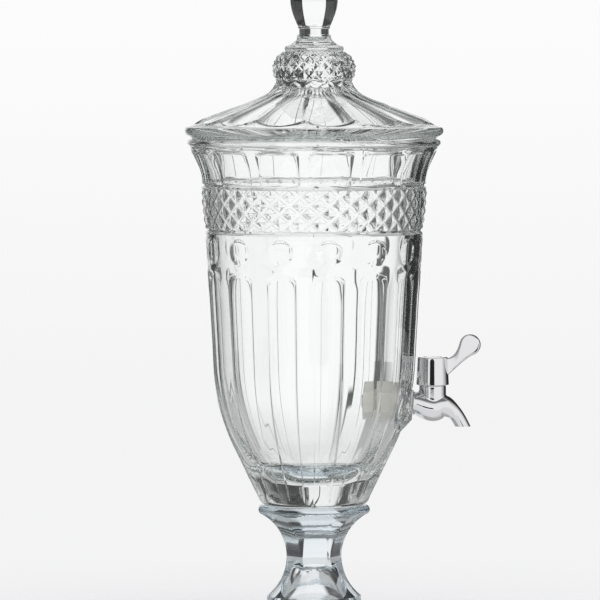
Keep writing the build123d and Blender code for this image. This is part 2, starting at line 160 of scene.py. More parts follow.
def joined_rows(first, second, first_start, second_start):
    """Triangles between two rows; quads are cut along their deeper diagonal, so grooves stay sharp."""
    (a_angles, a_row), (b_angles, b_row) = first, second
    faces = []
    if len(a_row) == len(b_row):
        depth_a = [math.hypot(x, y) for x, y, z in a_row]
        depth_b = [math.hypot(x, y) for x, y, z in b_row]
        for i in range(len(a_row) - 1):
            a, c = first_start + i, first_start + i + 1
            d, b = second_start + i, second_start + i + 1
            if depth_a[i] + depth_b[i + 1] <= depth_a[i + 1] + depth_b[i]:
                faces += [(a, c, b), (a, b, d)]
            else:
                faces += [(a, c, d), (c, b, d)]
        return faces
    i = k = 0
    while i + 1 < len(a_row) or k + 1 < len(b_row):
        along_a = k + 1 >= len(b_row) or (i + 1 < len(a_row) and a_angles[i + 1] <= b_angles[k + 1])
        a, b = first_start + i, second_start + k
        faces.append((a, a + 1, b) if along_a else (a, b + 1, b))
        i += along_a
        k += not along_a
    return faces


def mesh_piece(name, points, faces):
    """Object with a mesh of its own, in metres from points in millimetres."""
    mesh = bpy.data.meshes.new(name)
    mesh.from_pydata([tuple(value * MILLIMETRE for value in point) for point in points], [], faces)
    piece = bpy.data.objects.new(name, mesh)
    bpy.context.scene.collection.objects.link(piece)
    return piece


def sector_piece(name, rows):
    """Object with the mesh of one sector, stitched from row to row."""
    points, faces = [], []
    before = None
    for row in rows:
        start = len(points)
        points.extend(row[1])
        if before:
            faces.extend(joined_rows(before, row, before_start, start))
        before, before_start = row, start
    return mesh_piece(name, points, faces)


def fill(tree, node, inputs):
    """Feeds a node's inputs from other nodes' outputs, or gives them plain values."""
    for name, value in inputs.items():
        if isinstance(value, bpy.types.NodeSocket):
            tree.links.new(value, node.inputs[name])
        else:
            node.inputs[name].default_value = value


def add_node(tree, kind, inputs=None, operation=None):
    """New node of a tree with its inputs filled."""
    node = tree.nodes.new(kind)
    if operation:
        node.operation = operation
    fill(tree, node, inputs or {})
    return node


def calculated(tree, operation, *values):
    """Result of a calculation with plain values and other nodes' outputs."""
    return add_node(tree, "ShaderNodeMath", dict(enumerate(values)), operation).outputs["Value"]


def add_group(tree, group, inputs):
    """New node of a tree that holds a node group."""
    node = tree.nodes.new("ShaderNodeGroup")
    node.node_tree = group
    fill(tree, node, inputs)
    return node


def mixed(tree, factor, first, second):
    """Colour between two colours."""
    node = tree.nodes.new("ShaderNodeMix")
    node.data_type = "RGBA"
    fill(tree, node, {"Factor": factor, "A": first, "B": second})
    return node.outputs["Result"]


def ranged(tree, value, start, end=(0.0, 1.0), smooth=False):
    """Value taken from its range at the start to a range at the end."""
    node = tree.nodes.new("ShaderNodeMapRange")
    if smooth:
        node.interpolation_type = "SMOOTHSTEP"
    limits = {"From Min": start[0], "From Max": start[1], "To Min": end[0], "To Max": end[1]}
    fill(tree, node, {"Value": value, **limits})
    return node.outputs["Result"]


def new_group(name, kind, given, made):
    """Node group with its named inputs and outputs, and its two end nodes."""
    group = bpy.data.node_groups.new(name, kind)
    for side, sockets in (("INPUT", given), ("OUTPUT", made)):
        for socket, value in sockets.items():
            group.interface.new_socket(socket, in_out=side, socket_type="NodeSocket" + value)
    return group, group.nodes.new("NodeGroupInput").outputs, group.nodes.new("NodeGroupOutput")


def turned_copies_tree():
    """Geometry Nodes tree: copies of one sector round the axis, welded into a closed piece."""
    sockets = {"Sector": "Geometry", "Copies": "Int", "First turn": "Float", "Weld": "Float"}
    sockets["Material"] = "Material"
    tree, given, made = new_group("turned_copies", "GeometryNodeTree", sockets, {"Piece": "Geometry"})
    places = add_node(tree, "GeometryNodePoints", {"Count": given["Copies"]})
    index = add_node(tree, "GeometryNodeInputIndex").outputs["Index"]
    share = calculated(tree, "DIVIDE", index, given["Copies"])
    turn = calculated(tree, "MULTIPLY_ADD", share, 2 * math.pi, given["First turn"])
    euler = add_node(tree, "ShaderNodeCombineXYZ", {"Z": turn})
    rotation = add_node(tree, "FunctionNodeEulerToRotation", {"Euler": euler.outputs["Vector"]})
    copies = add_node(tree, "GeometryNodeInstanceOnPoints", {
        "Points": places.outputs["Points"],
        "Instance": given["Sector"],
        "Rotation": rotation.outputs["Rotation"],
    })
    real = add_node(tree, "GeometryNodeRealizeInstances", {"Geometry": copies.outputs["Instances"]})
    merged = {"Geometry": real.outputs["Geometry"], "Distance": given["Weld"]}
    weld = add_node(tree, "GeometryNodeMergeByDistance", merged)
    coated = {"Geometry": weld.outputs["Geometry"], "Material": given["Material"]}
    finish = add_node(tree, "GeometryNodeSetMaterial", coated)
    fill(tree, made, {"Piece": finish.outputs["Geometry"]})
    return tree


def settle(piece, crease=CREASE):
    """Turns the result of a piece's modifiers into its plain mesh, smooth but for its creases."""
    graph = bpy.context.evaluated_depsgraph_get()
    mesh = bpy.data.meshes.new_from_object(piece.evaluated_get(graph))
    piece.modifiers.clear()
    piece.data = mesh
    mesh.shade_smooth()
    mesh.set_sharp_from_angle(angle=crease)


turned_tree = turned_copies_tree()


def turned(name, rows, copies, first_turn, material, crease=CREASE):
    """Whole round piece from the rows of one sector."""
    piece = sector_piece(name, rows)
    values = {"Copies": copies, "First turn": first_turn, "Weld": WELD, "Material": material}
    modifier = piece.modifiers.new("turned_copies", "NODES")
    modifier.node_group = turned_tree
    for socket in turned_tree.interface.items_tree:
        if socket.in_out == "INPUT" and socket.name in values:
            modifier[socket.identifier] = values[socket.name]
    settle(piece, crease)
    return piece


def uneven_surface_group():
    """Shader group: slow unevenness of a pressed or cast surface, as colour, roughness and height."""
    colours = {"Colour": "Color", "Second colour": "Color"}
    sockets = {**colours, "Grain": "Float", "Low roughness": "Float", "High roughness": "Float"}
    results = {"Colour": "Color", "Roughness": "Float", "Height": "Float"}
    group, given, made = new_group("uneven_surface", "ShaderNodeTree", sockets, results)
    place = add_node(group, "ShaderNodeTexCoord").outputs["Object"]
    waves = {"Vector": place, "Scale": given["Grain"], "Detail": 2.0}
    noise = add_node(group, "ShaderNodeTexNoise", waves).outputs["Fac"]
    roughness = (given["Low roughness"], given["High roughness"])
    fill(group, made, {
        "Colour": mixed(group, noise, given["Colour"], given["Second colour"]),
        "Roughness": ranged(group, noise, (0.0, 1.0), roughness),
        "Height": noise,
    })
    return group


uneven_surface = uneven_surface_group()


def finished(name, colour, second, grain, roughness, bump, bump_depth):
    """Node material whose colour, roughness and relief come from the uneven-surface group."""
    material = bpy.data.materials.new(name)
    material.use_nodes = True
    tree = material.node_tree
    surface = add_group(tree, uneven_surface, {
        "Colour": (*colour, 1.0),
        "Second colour": (*second, 1.0),
        "Grain": grain,
        "Low roughness": roughness[0],
        "High roughness": roughness[1],
    }).outputs
    relief = add_node(tree, "ShaderNodeBump", {
        "Height": surface["Height"], "Strength": bump, "Distance": bump_depth,
    })
    shader = tree.nodes["Principled BSDF"]
    fill(tree, shader, {
        "Base Color": surface["Colour"],
        "Roughness": surface["Roughness"],
        "Normal": relief.outputs["Normal"],
    })
    return material, shader


def pressed_glass(name, colour, second, absorbed, density):
    """Clear pressed glass with slight waves, and a tint that grows with its thickness."""
    material, shader = finished(name, colour, second, 26.0, (0.0, 0.004), 0.06, 0.001)
    tree = material.node_tree
    fill(tree, shader, {"Transmission Weight": 1.0, "Metallic": 0.0, "IOR": 1.52})
    tint = add_node(tree, "ShaderNodeVolumeAbsorption", {"Color": (*absorbed, 1.0), "Density": density})
    fill(tree, tree.nodes["Material Output"], {"Volume": tint.outputs["Volume"]})
    return material


FACET = WAIST_RADIUS * math.cos(math.pi / STEM_SIDES)
lower_facet = circle_through(
    (FOOT_RADIUS, PLINTH_LOW), (FACET + FACET_SPREAD, (WAIST_HEIGHT + PLINTH_LOW) / 2), (FACET, WAIST_HEIGHT)
)
upper_facet = circle_through(
    (FACET, WAIST_HEIGHT), (FACET + FACET_SPREAD, (WAIST_HEIGHT + STAND_TOP) / 2), (FOOT_RADIUS, STAND_TOP)
)


def stem_shape(angle, radius, height):
    """Cuts the round stand back to the concave faces of its stem."""
    if not PLINTH_LOW < height < STAND_TOP or radius < STEM_CORE:
        return radius, height
    x, z, curve = lower_facet if height < WAIST_HEIGHT else upper_facet
    flat = x - math.sqrt(curve**2 - (height - z) ** 2)
    return soft_min(radius, flat / math.cos(angle), STEM_EDGE_BLEND), height


hollow_top_corner = (HOLLOW_TOP_RADIUS, HOLLOW_TOP)
stand_hollow = (
    straight((0, HOLLOW_TOP), (HOLLOW_FLAT, HOLLOW_TOP), 4)
    + rounded((0, HOLLOW_TOP), hollow_top_corner, HOLLOW_KNEE, HOLLOW_EDGE, 8)
    + rounded(hollow_top_corner, HOLLOW_KNEE, (HOLLOW_RADIUS, 0), HOLLOW_BELL, 12)
)
dome_middle = ((FOOT_RADIUS + PLINTH_RADIUS) / 2 - FOOT_SAG, (FOOT_EDGE + PLINTH_LOW) / 2 - FOOT_SAG)
collar_middle = (COLLAR_RADIUS + COLLAR_ROLL, (COLLAR_LOW + STAND_TOP) / 2)
stand_outside = (
    straight(stand_hollow[-1], (HOLLOW_RADIUS - HEEL, HEEL), 10)
    + arc((HOLLOW_RADIUS - 0.75 * HEEL, HEEL), (HOLLOW_RADIUS, HEEL / 4), (HOLLOW_RADIUS + HEEL, 0), 3)
    + straight((HOLLOW_RADIUS + HEEL, 0), (FOOT_RADIUS - FOOT_TOP_EDGE, 0), 4)
    + rounded((FOOT_RADIUS - 5, 0), (FOOT_RADIUS, 0), (FOOT_RADIUS, FOOT_EDGE), FOOT_LOW_EDGE, 4)
    + rounded((FOOT_RADIUS, 0), (FOOT_RADIUS, FOOT_EDGE), dome_middle, FOOT_TOP_EDGE, 4)
    + arc((FOOT_RADIUS - 1.6, FOOT_EDGE + 1), dome_middle, (PLINTH_RADIUS, PLINTH_LOW), 24)
    + straight((PLINTH_RADIUS, PLINTH_LOW), (PLINTH_RADIUS, PLINTH_HIGH), 3)
    + arc((PLINTH_RADIUS, PLINTH_HIGH), (WAIST_RADIUS, WAIST_HEIGHT), (COLLAR_RADIUS, COLLAR_LOW), 70)
    + arc((COLLAR_RADIUS, COLLAR_LOW), collar_middle, (COLLAR_RADIUS - COLLAR_ROLL, STAND_TOP), 8)
)
stand_seat = (
    straight((COLLAR_RADIUS - COLLAR_ROLL, STAND_TOP), (SEAT_RADIUS + SEAT_EDGE, STAND_TOP), 3)
    + straight((SEAT_RADIUS + SEAT_EDGE, STAND_TOP), (SEAT_RADIUS, STAND_TOP - SEAT_EDGE), 1)
    + straight((SEAT_RADIUS, STAND_TOP - SEAT_EDGE), (SEAT_RADIUS, SEAT_FLOOR), 3)
    + straight((SEAT_RADIUS, SEAT_FLOOR), (0, SEAT_FLOOR), 6)
    + [(0, SEAT_FLOOR)]
)
half_side = math.pi / STEM_SIDES
stand_rows = rows_of(
    stand_hollow + stand_outside + stand_seat, even_angles(-half_side, half_side, STEM_COLUMNS), stem_shape
)
blue_glass = pressed_glass("blue_pressed_glass", (1, 1, 1), (0.985, 0.995, 1.0), (0.5, 0.63, 0.71), 10.0)
stand_piece = turned("glass_stand", stand_rows, STEM_SIDES, STEM_TURN, blue_glass)
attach(stand_piece, "stand")
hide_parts("stand")

# Jar: clear glass pressed in a mould, with tall flat flutes, an oval over each flute, a band of cut
# diamonds and a flared rim with arched panels. It stands loose in the seat of the stand, and its tap
# hole is drilled through a moulded boss.
FLUTES = 14
JAR_SECTORS = 7
AIR_GAP = 0.05
JAR_FOOT_RADIUS = 32.6
JAR_SHOULDER = 98.4
BASE_RADIUS = 37.0
KNEE = (69.3, 165.0)
BODY_TOP = (76.2, 288.6)
BASE_CURVE = 5.6
KNEE_CURVE = 150.0
INNER_KNEE_CURVE = 110.0
JAR_FOOT_EDGE = 0.6
MOUTH_EDGE = 0.8
GROOVE_DEPTH = 1.6
GROOVE_FLOOR = 290.5
FLARE_GROOVE_FLOOR = 322.0
BAND_FOOT = (76.4, 292.4)
BAND_TOP = (79.0, 320.5)
BAND_MIDDLE = (78.4, 306.45)
FLARE_FOOT = (78.6, 323.4)
GROOVE_LOW_SIDE = (BODY_TOP[0] - 0.6, 289.6)
GROOVE_HIGH_SIDE = (BAND_FOOT[0] - 0.9, 291.5)
FLARE_GROOVE_LOW_SIDE = (BAND_TOP[0] - 0.9, 321.2)
FLARE_GROOVE_HIGH_SIDE = (FLARE_FOOT[0] - 0.8, 322.8)
FLARE_MIDDLE = (81.4, 336.3)
FLARE_TOP = (87.0, 349.2)
LIP_MIDDLE = (88.6, 351.8)
RIM_LAND = (86.2, 354.4)
JAR_FLOOR = 119.0
BOWL_MIDDLE = (22.0, 122.4)
BOWL_EDGE = (39.2, 131.0)
INNER_KNEE = (62.7, 165.0)
INNER_FLARE = (71.9, 322.0)
INNER_FLARE_MIDDLE = (74.6, 334.8)
MOUTH = (80.5, 347.5)

TAP_HEIGHT = 170.0
BOSS_FACE = 68.6
BOSS_RADIUS = 12.3
BOSS_ROOT = (59.5, 22.0)
BOSS_EDGE = 1.0
PAD_FACE = 59.8
PAD_RADIUS = 15.0
PAD_BACK = 65.6
PAD_CUT = 20.0
TAP_HOLE = 6.0
HOLE_CUT = 5.0
ROUND_POINTS = 48

FLUTE_PITCH = 2 * math.pi / FLUTES
PANEL_HALF = math.radians(8.26)
PANEL_BEVEL = math.radians(0.75)
PANEL_STEP = 0.3
RIB_RISE = 0.12
RIB_FADE = 9.0
PANEL_TOP = 264.5
PANEL_TOP_RUN = 6.0
PANEL_ARCH = 5.0
ARCH_START = (PANEL_TOP - 24, PANEL_TOP - 2)
ARCH_END = (PANEL_TOP, PANEL_TOP + 4)
PANEL_FADE = (101.0, 109.0)
OVAL_HALF = math.radians(6.5)
OVAL_MIDDLE = 277.0
OVAL_HEIGHT = 9.0
OVAL_DEPTH = 1.1
OVAL_EDGE = 0.2
OVAL_EDGE_RUN = 0.15
DIAMONDS = 35
DIAMOND_PITCH = 12.18
DIAMOND_CROSSING = 303.9
DIAMOND_HEIGHT = 1.35
DIAMOND_STEPS = 12
DIAMOND_GROOVE = 1 / DIAMOND_STEPS
BAND_ROWS = range(-11, 17)
FLARE_PANEL_HALF = math.radians(10.6)
FLARE_PANEL_TOP = 347.4
FLARE_PANEL_ARCH = 2.5
FLARE_PANEL_RUN = 3.0
FLARE_FOOT_RUN = 0.8
FLARE_ARCH_START = (FLARE_FOOT[1] + 6, FLARE_PANEL_TOP - 2)
FLARE_STEP = 0.35
FLARE_HOLLOW = 0.3


def from_nearest(angle, pitch):
    """Angle from the nearest of the directions that repeat at a pitch."""
    return (angle + pitch / 2) % pitch - pitch / 2


def body_shape(angle, radius, height):
    """Sinks a flat flute with an arched top, and an oval above it, into the jar's body."""
    off = abs(from_nearest(angle, FLUTE_PITCH))
    across = min(off / PANEL_HALF, 1.0)
    bend = soft_ramp(height, *ARCH_START) * (1 - soft_ramp(height, *ARCH_END))
    place = height - PANEL_ARCH * across**2 * bend
    inside = min(ramp(PANEL_HALF - off, 0, PANEL_BEVEL), soft_ramp(PANEL_TOP - height, 0, PANEL_TOP_RUN))
    inside *= soft_ramp(height, *PANEL_FADE)
    chord = radius * (1 - math.cos(PANEL_HALF) / math.cos(min(off, PANEL_HALF)))
    depth = inside * (PANEL_STEP + chord)
    oval = 1 - (off / OVAL_HALF) ** 2 - ((height - OVAL_MIDDLE) / OVAL_HEIGHT) ** 2
    depth += OVAL_EDGE * ramp(oval, 0, OVAL_EDGE_RUN) + (OVAL_DEPTH - OVAL_EDGE) * max(oval, 0.0)
    ridge = ramp(off, PANEL_HALF, FLUTE_PITCH / 2)
    depth -= RIB_RISE * ridge * soft_ramp(height, *PANEL_FADE) * soft_ramp(PANEL_TOP - height, 0, RIB_FADE)
    return radius - depth, place


def pyramid(u, v, groove):
    """0 in the crossing grooves of a diamond pattern and 1 on the tips between them."""
    a = (u + v) % 1.0
    b = (u - v) % 1.0
    return ramp(min(a, 1 - a, b, 1 - b), groove, 0.5)


def diamond_shape(angle, radius, height):
    """Leaves four-sided pyramids between the crossing grooves of the band."""
    v = (height - DIAMOND_CROSSING) / DIAMOND_PITCH
    rise = pyramid(angle * DIAMONDS / (2 * math.pi), v, DIAMOND_GROOVE)
    return radius - DIAMOND_HEIGHT * (1 - rise), height


def flare_shape(angle, radius, height):
    """Sinks the panels of the flared rim, with their arched tops."""
    off = abs(from_nearest(angle, FLUTE_PITCH))
    across = min(off / FLARE_PANEL_HALF, 1.0)
    bend = soft_ramp(height, *FLARE_ARCH_START) * (1 - soft_ramp(height, FLARE_PANEL_TOP, FLARE_TOP[1]))
    place = height - FLARE_PANEL_ARCH * across**4 * bend
    side = ramp(FLARE_PANEL_HALF - off, 0, PANEL_BEVEL)
    top = soft_ramp(FLARE_PANEL_TOP - height, 0, FLARE_PANEL_RUN)
    inside = min(side, top, ramp(height, FLARE_FOOT[1], FLARE_FOOT[1] + FLARE_FOOT_RUN))
    chord = radius * (1 - math.cos(FLARE_PANEL_HALF) / math.cos(min(off, FLARE_PANEL_HALF)))
    return radius - inside * (FLARE_STEP + FLARE_HOLLOW * chord), place


def panel_angles(half_width):
    """Columns of one jar sector, drawn close at the edges of its two panels."""
    share = [0, 0.13, 0.26, 0.39, 0.52, 0.65, 0.76, 0.84]
    inner = [half_width * s for s in share] + [half_width - PANEL_BEVEL * s for s in (1.0, 0.5, 0)]
    land = FLUTE_PITCH / 2 - half_width
    outer = [half_width + land * s for s in (0.12, 0.4, 0.7)]
    half = inner + outer
    pitch = half + [FLUTE_PITCH / 2] + [FLUTE_PITCH - angle for angle in reversed(half[1:])]
    return pitch + [FLUTE_PITCH + angle for angle in pitch] + [2 * FLUTE_PITCH]


jar_angle = 2 * math.pi / JAR_SECTORS
plain_angles = even_angles(0, jar_angle, 30)
band_angles = even_angles(0, jar_angle, DIAMOND_STEPS * DIAMONDS // JAR_SECTORS)
base_corner = (BASE_RADIUS, JAR_SHOULDER)
body_curve = rounded((JAR_FOOT_RADIUS, JAR_SHOULDER), base_corner, KNEE, BASE_CURVE, 6)
knee_curve = rounded(base_corner, KNEE, BODY_TOP, KNEE_CURVE, 24)
jar_bottom = SEAT_FLOOR + AIR_GAP
foot_corner = (JAR_FOOT_RADIUS, jar_bottom)
foot_top = (JAR_FOOT_RADIUS, JAR_SHOULDER)
jar_foot = (
    straight((0, jar_bottom), (JAR_FOOT_RADIUS - JAR_FOOT_EDGE, jar_bottom), 6)
    + rounded((0, jar_bottom), foot_corner, foot_top, JAR_FOOT_EDGE, 3)
    + [foot_top]
)


def groove(lower, low_side, floor, high_side, upper):
    """Outline of a rounded groove between two edges of the wall."""
    return arc(lower, low_side, floor, 4) + arc(floor, high_side, upper, 4)


def on_curve(circle, height):
    """Point of an outline's circle at a height, on its outer side."""
    x, z, radius = circle
    return x + math.sqrt(radius**2 - (height - z) ** 2), height


def on_wall(height):
    """Point of the jar's upper wall at a height."""
    share = (height - knee_curve[-1][1]) / (BODY_TOP[1] - knee_curve[-1][1])
    return knee_curve[-1][0] + (BODY_TOP[0] - knee_curve[-1][0]) * share, height


# Rows of the body's mesh, close together at the tops of the flutes and over the ovals
upper_heights = [200 + 6 * step for step in range(7)] + [240 + 3 * step for step in range(7)]
arch_heights = [259.5, 260.6] + [PANEL_TOP - 3 + 0.5 * step for step in range(7)] + [265.5, 266.5]
oval_heights = [267.4 + 0.8 * step for step in range(25)]
body_outline = (
    body_curve
    + straight(body_curve[-1], knee_curve[0], 12)
    + knee_curve
    + [on_wall(height) for height in upper_heights + arch_heights + oval_heights]
)
groove_floor = (BODY_TOP[0] - GROOVE_DEPTH, GROOVE_FLOOR)
groove_outline = groove(BODY_TOP, GROOVE_LOW_SIDE, groove_floor, GROOVE_HIGH_SIDE, BAND_FOOT)
band_curve = circle_through(BAND_FOOT, BAND_MIDDLE, BAND_TOP)
band_heights = [DIAMOND_CROSSING + DIAMOND_PITCH * row / DIAMOND_STEPS for row in BAND_ROWS]
band_outline = [on_curve(band_curve, height) for height in band_heights]
flare_floor = (FLARE_FOOT[0] - GROOVE_DEPTH, FLARE_GROOVE_FLOOR)
flare_groove = groove(BAND_TOP, FLARE_GROOVE_LOW_SIDE, flare_floor, FLARE_GROOVE_HIGH_SIDE, FLARE_FOOT)
flare_outline = arc(FLARE_FOOT, FLARE_MIDDLE, FLARE_TOP, 44)
lip_outline = arc(FLARE_TOP, LIP_MIDDLE, RIM_LAND, 10)
inner_knee = rounded(BOWL_EDGE, INNER_KNEE, INNER_FLARE, INNER_KNEE_CURVE, 20)
inner_flare = arc(INNER_FLARE, INNER_FLARE_MIDDLE, MOUTH, 20)
jar_inside = (
    [RIM_LAND]
    + straight((RIM_LAND[0] - 1, RIM_LAND[1]), (MOUTH[0] + 1, RIM_LAND[1]), 2)
    + rounded(RIM_LAND, (MOUTH[0], RIM_LAND[1]), MOUTH, MOUTH_EDGE, 4)
    + inner_flare[::-1]
    + straight(inner_flare[0], inner_knee[-1], 8)
    + inner_knee[::-1]
    + straight(inner_knee[0], BOWL_EDGE, 4)
    + arc(BOWL_EDGE, BOWL_MIDDLE, (0, JAR_FLOOR), 14)
    + [(0, JAR_FLOOR)]
)
jar_rows = (
    rows_of(jar_foot, plain_angles)
    + rows_of(body_outline, panel_angles(PANEL_HALF), body_shape)
    + rows_of(groove_outline, band_angles)
    + rows_of(band_outline, band_angles, diamond_shape)
    + rows_of(flare_groove, band_angles)
    + rows_of(flare_outline, panel_angles(FLARE_PANEL_HALF), flare_shape)
    + rows_of(lip_outline, band_angles)
    + rows_of(jar_inside, plain_angles)
)
clear_glass = pressed_glass("clear_pressed_glass", (1, 1, 1), (0.99, 1.0, 0.995), (0.82, 0.85, 0.845), 10.0)


def ring(centre, along, radius, width=1.0):
    """Round section across a direction in the tap's upright plane; the radius may depend on the angle."""
    across = Vector((0, 1, 0))
    up = along.cross(across)
    across = across * width
    points = []
    for step in range(ROUND_POINTS):
        angle = 2 * math.pi * step / ROUND_POINTS
        reach = radius(angle) if callable(radius) else radius
        points.append(centre + (across * math.cos(angle) + up * math.sin(angle)) * reach)
    return points


def skin(name, rings):
    """Closed piece with a skin over a row of rings, and flat ends."""
    count = len(rings[0])
    points = [point for row in rings for point in row]
    faces = [tuple(range(count))[::-1], tuple(range(len(points) - count, len(points)))]
    for first in range(0, len(points) - count, count):
        for i in range(count):
            after = (i + 1) % count
            faces.append((first + i, first + after, first + count + after, first + count + i))
    return mesh_piece(name, points, faces)


def bar(places):
    """Round bar along the tap's shank through (place, radius) pairs."""
    along = Vector((1, 0, 0))
    return skin("bar", [ring(Vector((place, 0, TAP_HEIGHT)), along, radius) for place, radius in places])


def combine(piece, tool, operation):
    """Joins a tool to a piece or cuts it away, and removes the tool."""
    modifier = piece.modifiers.new("combine", "BOOLEAN")
    modifier.solver = "MANIFOLD"
    modifier.operation = operation
    modifier.object = tool
    settle(piece)
    bpy.data.objects.remove(tool)


def coat(piece, material):
    """Gives every face of a piece the same finish."""
    piece.data.materials.clear()
    piece.data.materials.append(material)
    piece.data.polygons.foreach_set("material_index", [0] * len(piece.data.polygons))


jar_piece = turned("glass_jar", jar_rows, JAR_SECTORS, 0.0, clear_glass)
boss_rim = rounded(BOSS_ROOT, (BOSS_FACE, BOSS_RADIUS), (BOSS_FACE, 0), BOSS_EDGE, 5)
combine(jar_piece, bar([BOSS_ROOT] + boss_rim), "UNION")
combine(jar_piece, bar([(PAD_FACE - PAD_CUT, PAD_RADIUS), (PAD_FACE, PAD_RADIUS)]), "DIFFERENCE")
combine(jar_piece, bar([(PAD_FACE, PAD_RADIUS), (PAD_BACK, PAD_RADIUS)]), "UNION")
combine(jar_piece, bar([(PAD_FACE - HOLE_CUT, TAP_HOLE), (BOSS_FACE + HOLE_CUT, TAP_HOLE)]), "DIFFERENCE")
coat(jar_piece, clear_glass)
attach(jar_piece, "jar")
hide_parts("vessel")

# Lid: a pressed-glass cover with fourteen hollow panels that end in petals above a plain rolled rim.
# A spigot below the rim keeps it in the jar's mouth.
LID_REST = RIM_LAND[1] + AIR_GAP
LID_REST_RADIUS = 85.0
LID_LIP = (87.4, 356.2)
LID_EDGE = (90.5, 359.8)
LID_RIM = (89.0, 363.0)
LID_SHOULDER = (84.0, 366.5)
LID_LAND = (26.6, 394.8)
LID_CEILING = 388.8
LID_WALL = 6.0
SPIGOT_RADIUS = 79.9
SPIGOT_INSIDE = 74.5
SPIGOT_LOW = 348.3
SPIGOT_ROOT = 355.4
SPIGOT_EDGE = 0.8
LID_UNDER = (46.0, 369.5)
LID_SLOPE = 0.36
LID_NECK_RISE = 7.4
LID_NECK_CURVE = 3.4
PETAL_ROW = 85.2
PETAL_CUSP = 7.0
PETAL_START = 60.0
PETAL_STEP = 2.1
PETAL_BEVEL = 0.9
LID_PANEL_DEPTH = 1.7
LID_PANEL_RUN = 0.8
LID_COLUMNS = 24


def neck_rise(radius):
    """Height that the curve up to the neck adds to the lid's slope at a radius."""
    return LID_NECK_RISE * math.exp((LID_LAND[0] - radius) / LID_NECK_CURVE)


def lid_height(radius):
    """Height of the lid's bell-shaped slope at a radius."""
    return LID_SHOULDER[1] + LID_SLOPE * (LID_SHOULDER[0] - radius) + neck_rise(radius)


def lid_shape(angle, radius, height):
    """Hollows one panel of the lid between its ribs, and draws its petal end in towards the ribs."""
    across = abs(angle) / (math.pi / FLUTES)
    draw = soft_ramp(radius, PETAL_START, PETAL_ROW - 1) * (1 - soft_ramp(radius, PETAL_ROW, LID_RIM[0]))
    drawn = PETAL_CUSP * across**2 * draw
    hollow = LID_PANEL_DEPTH * (1 - across**2)
    petal = ramp(PETAL_ROW - radius, 0, PETAL_BEVEL)
    hollow *= ramp(radius, LID_LAND[0], LID_LAND[0] + LID_PANEL_RUN)
    sunk = petal * hollow + (1 - petal) * PETAL_STEP
    steep = math.atan(LID_SLOPE + neck_rise(radius) / LID_NECK_CURVE)
    return radius - drawn - sunk * math.sin(steep), height + drawn * LID_SLOPE - sunk * math.cos(steep)


rim_curve = arc(LID_LIP, LID_EDGE, LID_RIM, 12)
# Rows of the slope's mesh, close together at the petals and at the neck
slope_radii = [88.4, 87.4, 86.4, 85.8] + [PETAL_ROW - 0.3 * step for step in range(5)] + [83.0, 82.0]
slope_radii += [80 - 2.5 * step for step in range(19)] + [33.0, 31.0, 29.5, 28.4, 27.6, 27.0]
spigot_top = (SPIGOT_RADIUS, LID_REST)
spigot_start = (SPIGOT_INSIDE, SPIGOT_LOW + SPIGOT_EDGE)
spigot_corner = (SPIGOT_INSIDE + SPIGOT_EDGE / 4, SPIGOT_LOW + SPIGOT_EDGE / 4)
lid_under = (
    straight((0, LID_CEILING), (LID_LAND[0] - LID_WALL, LID_CEILING), 6)
    + arc((LID_LAND[0] - LID_WALL, LID_CEILING), LID_UNDER, (SPIGOT_INSIDE, SPIGOT_ROOT), 24)
    + straight((SPIGOT_INSIDE, SPIGOT_ROOT), spigot_start, 4)
    + arc(spigot_start, spigot_corner, (SPIGOT_INSIDE + SPIGOT_EDGE, SPIGOT_LOW), 3)
    + rounded((SPIGOT_INSIDE, SPIGOT_LOW), (SPIGOT_RADIUS, SPIGOT_LOW), spigot_top, SPIGOT_EDGE, 4)
    + straight((SPIGOT_RADIUS, LID_REST - 1), spigot_top, 2)
    + straight(spigot_top, (LID_REST_RADIUS, LID_REST), 4)
    + straight((LID_REST_RADIUS, LID_REST), LID_LIP, 3)
)
lid_top = [(radius, lid_height(radius)) for radius in slope_radii]
lid_land = straight(LID_LAND, (0, LID_LAND[1]), 6) + [(0, LID_LAND[1])]
lid_angles = even_angles(-math.pi / FLUTES, math.pi / FLUTES, LID_COLUMNS)
lid_rows = (
    rows_of(lid_under + rim_curve, lid_angles)
    + rows_of(lid_top, lid_angles, lid_shape)
    + rows_of(lid_land, lid_angles)
)
lid_piece = turned("glass_lid", lid_rows, FLUTES, 0.0, clear_glass)
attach(lid_piece, "lid")
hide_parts("lid_cover")

# Knob: a pressed-glass finial bonded to the lid, with a diamond-cut ball, a disc, a collar and a
# six-sided drop.
KNOB_LAND = LID_LAND[1] + AIR_GAP
BALL = (29.4, 404.8)
DISC_RADIUS = 20.7
DISC_LOW = 415.5
DISC_TOP = 418.8
KNOB_COLLAR_RADIUS = 11.6
KNOB_COLLAR_LOW = 423.5
KNOB_COLLAR_HIGH = 427.2
NECK_RADIUS = 10.4
NECK_TOP = 431.0
BEAD_RADIUS = 11.4
BEAD_HALF = 0.9
DROP_RADIUS = 16.6
DROP_WIDEST = 452.0
DROP_TOP = 476.68
DROP_TURN = math.radians(34.9)
DROP_SIDES = 6
DROP_STEPS = 44
DROP_FACES = (NECK_TOP + 0.5, NECK_TOP + 5)
CROWN_POWER = 2.4
BALL_DIAMONDS = 24
BALL_COLUMNS = 10
BALL_ROWS = 3
BALL_CUT = 1.3
BALL_GROOVE = 0.1
BALL_FOOT_RUN = (KNOB_LAND + 0.3, KNOB_LAND + 1.5)
BALL_TOP_RUN = (0.3, 1.5)
DISC_EDGE = 0.6
COLLAR_SWEEP = (15.2, 421.1)
COLLAR_EDGE = 0.5
KNOB_CREASE = math.radians(24)


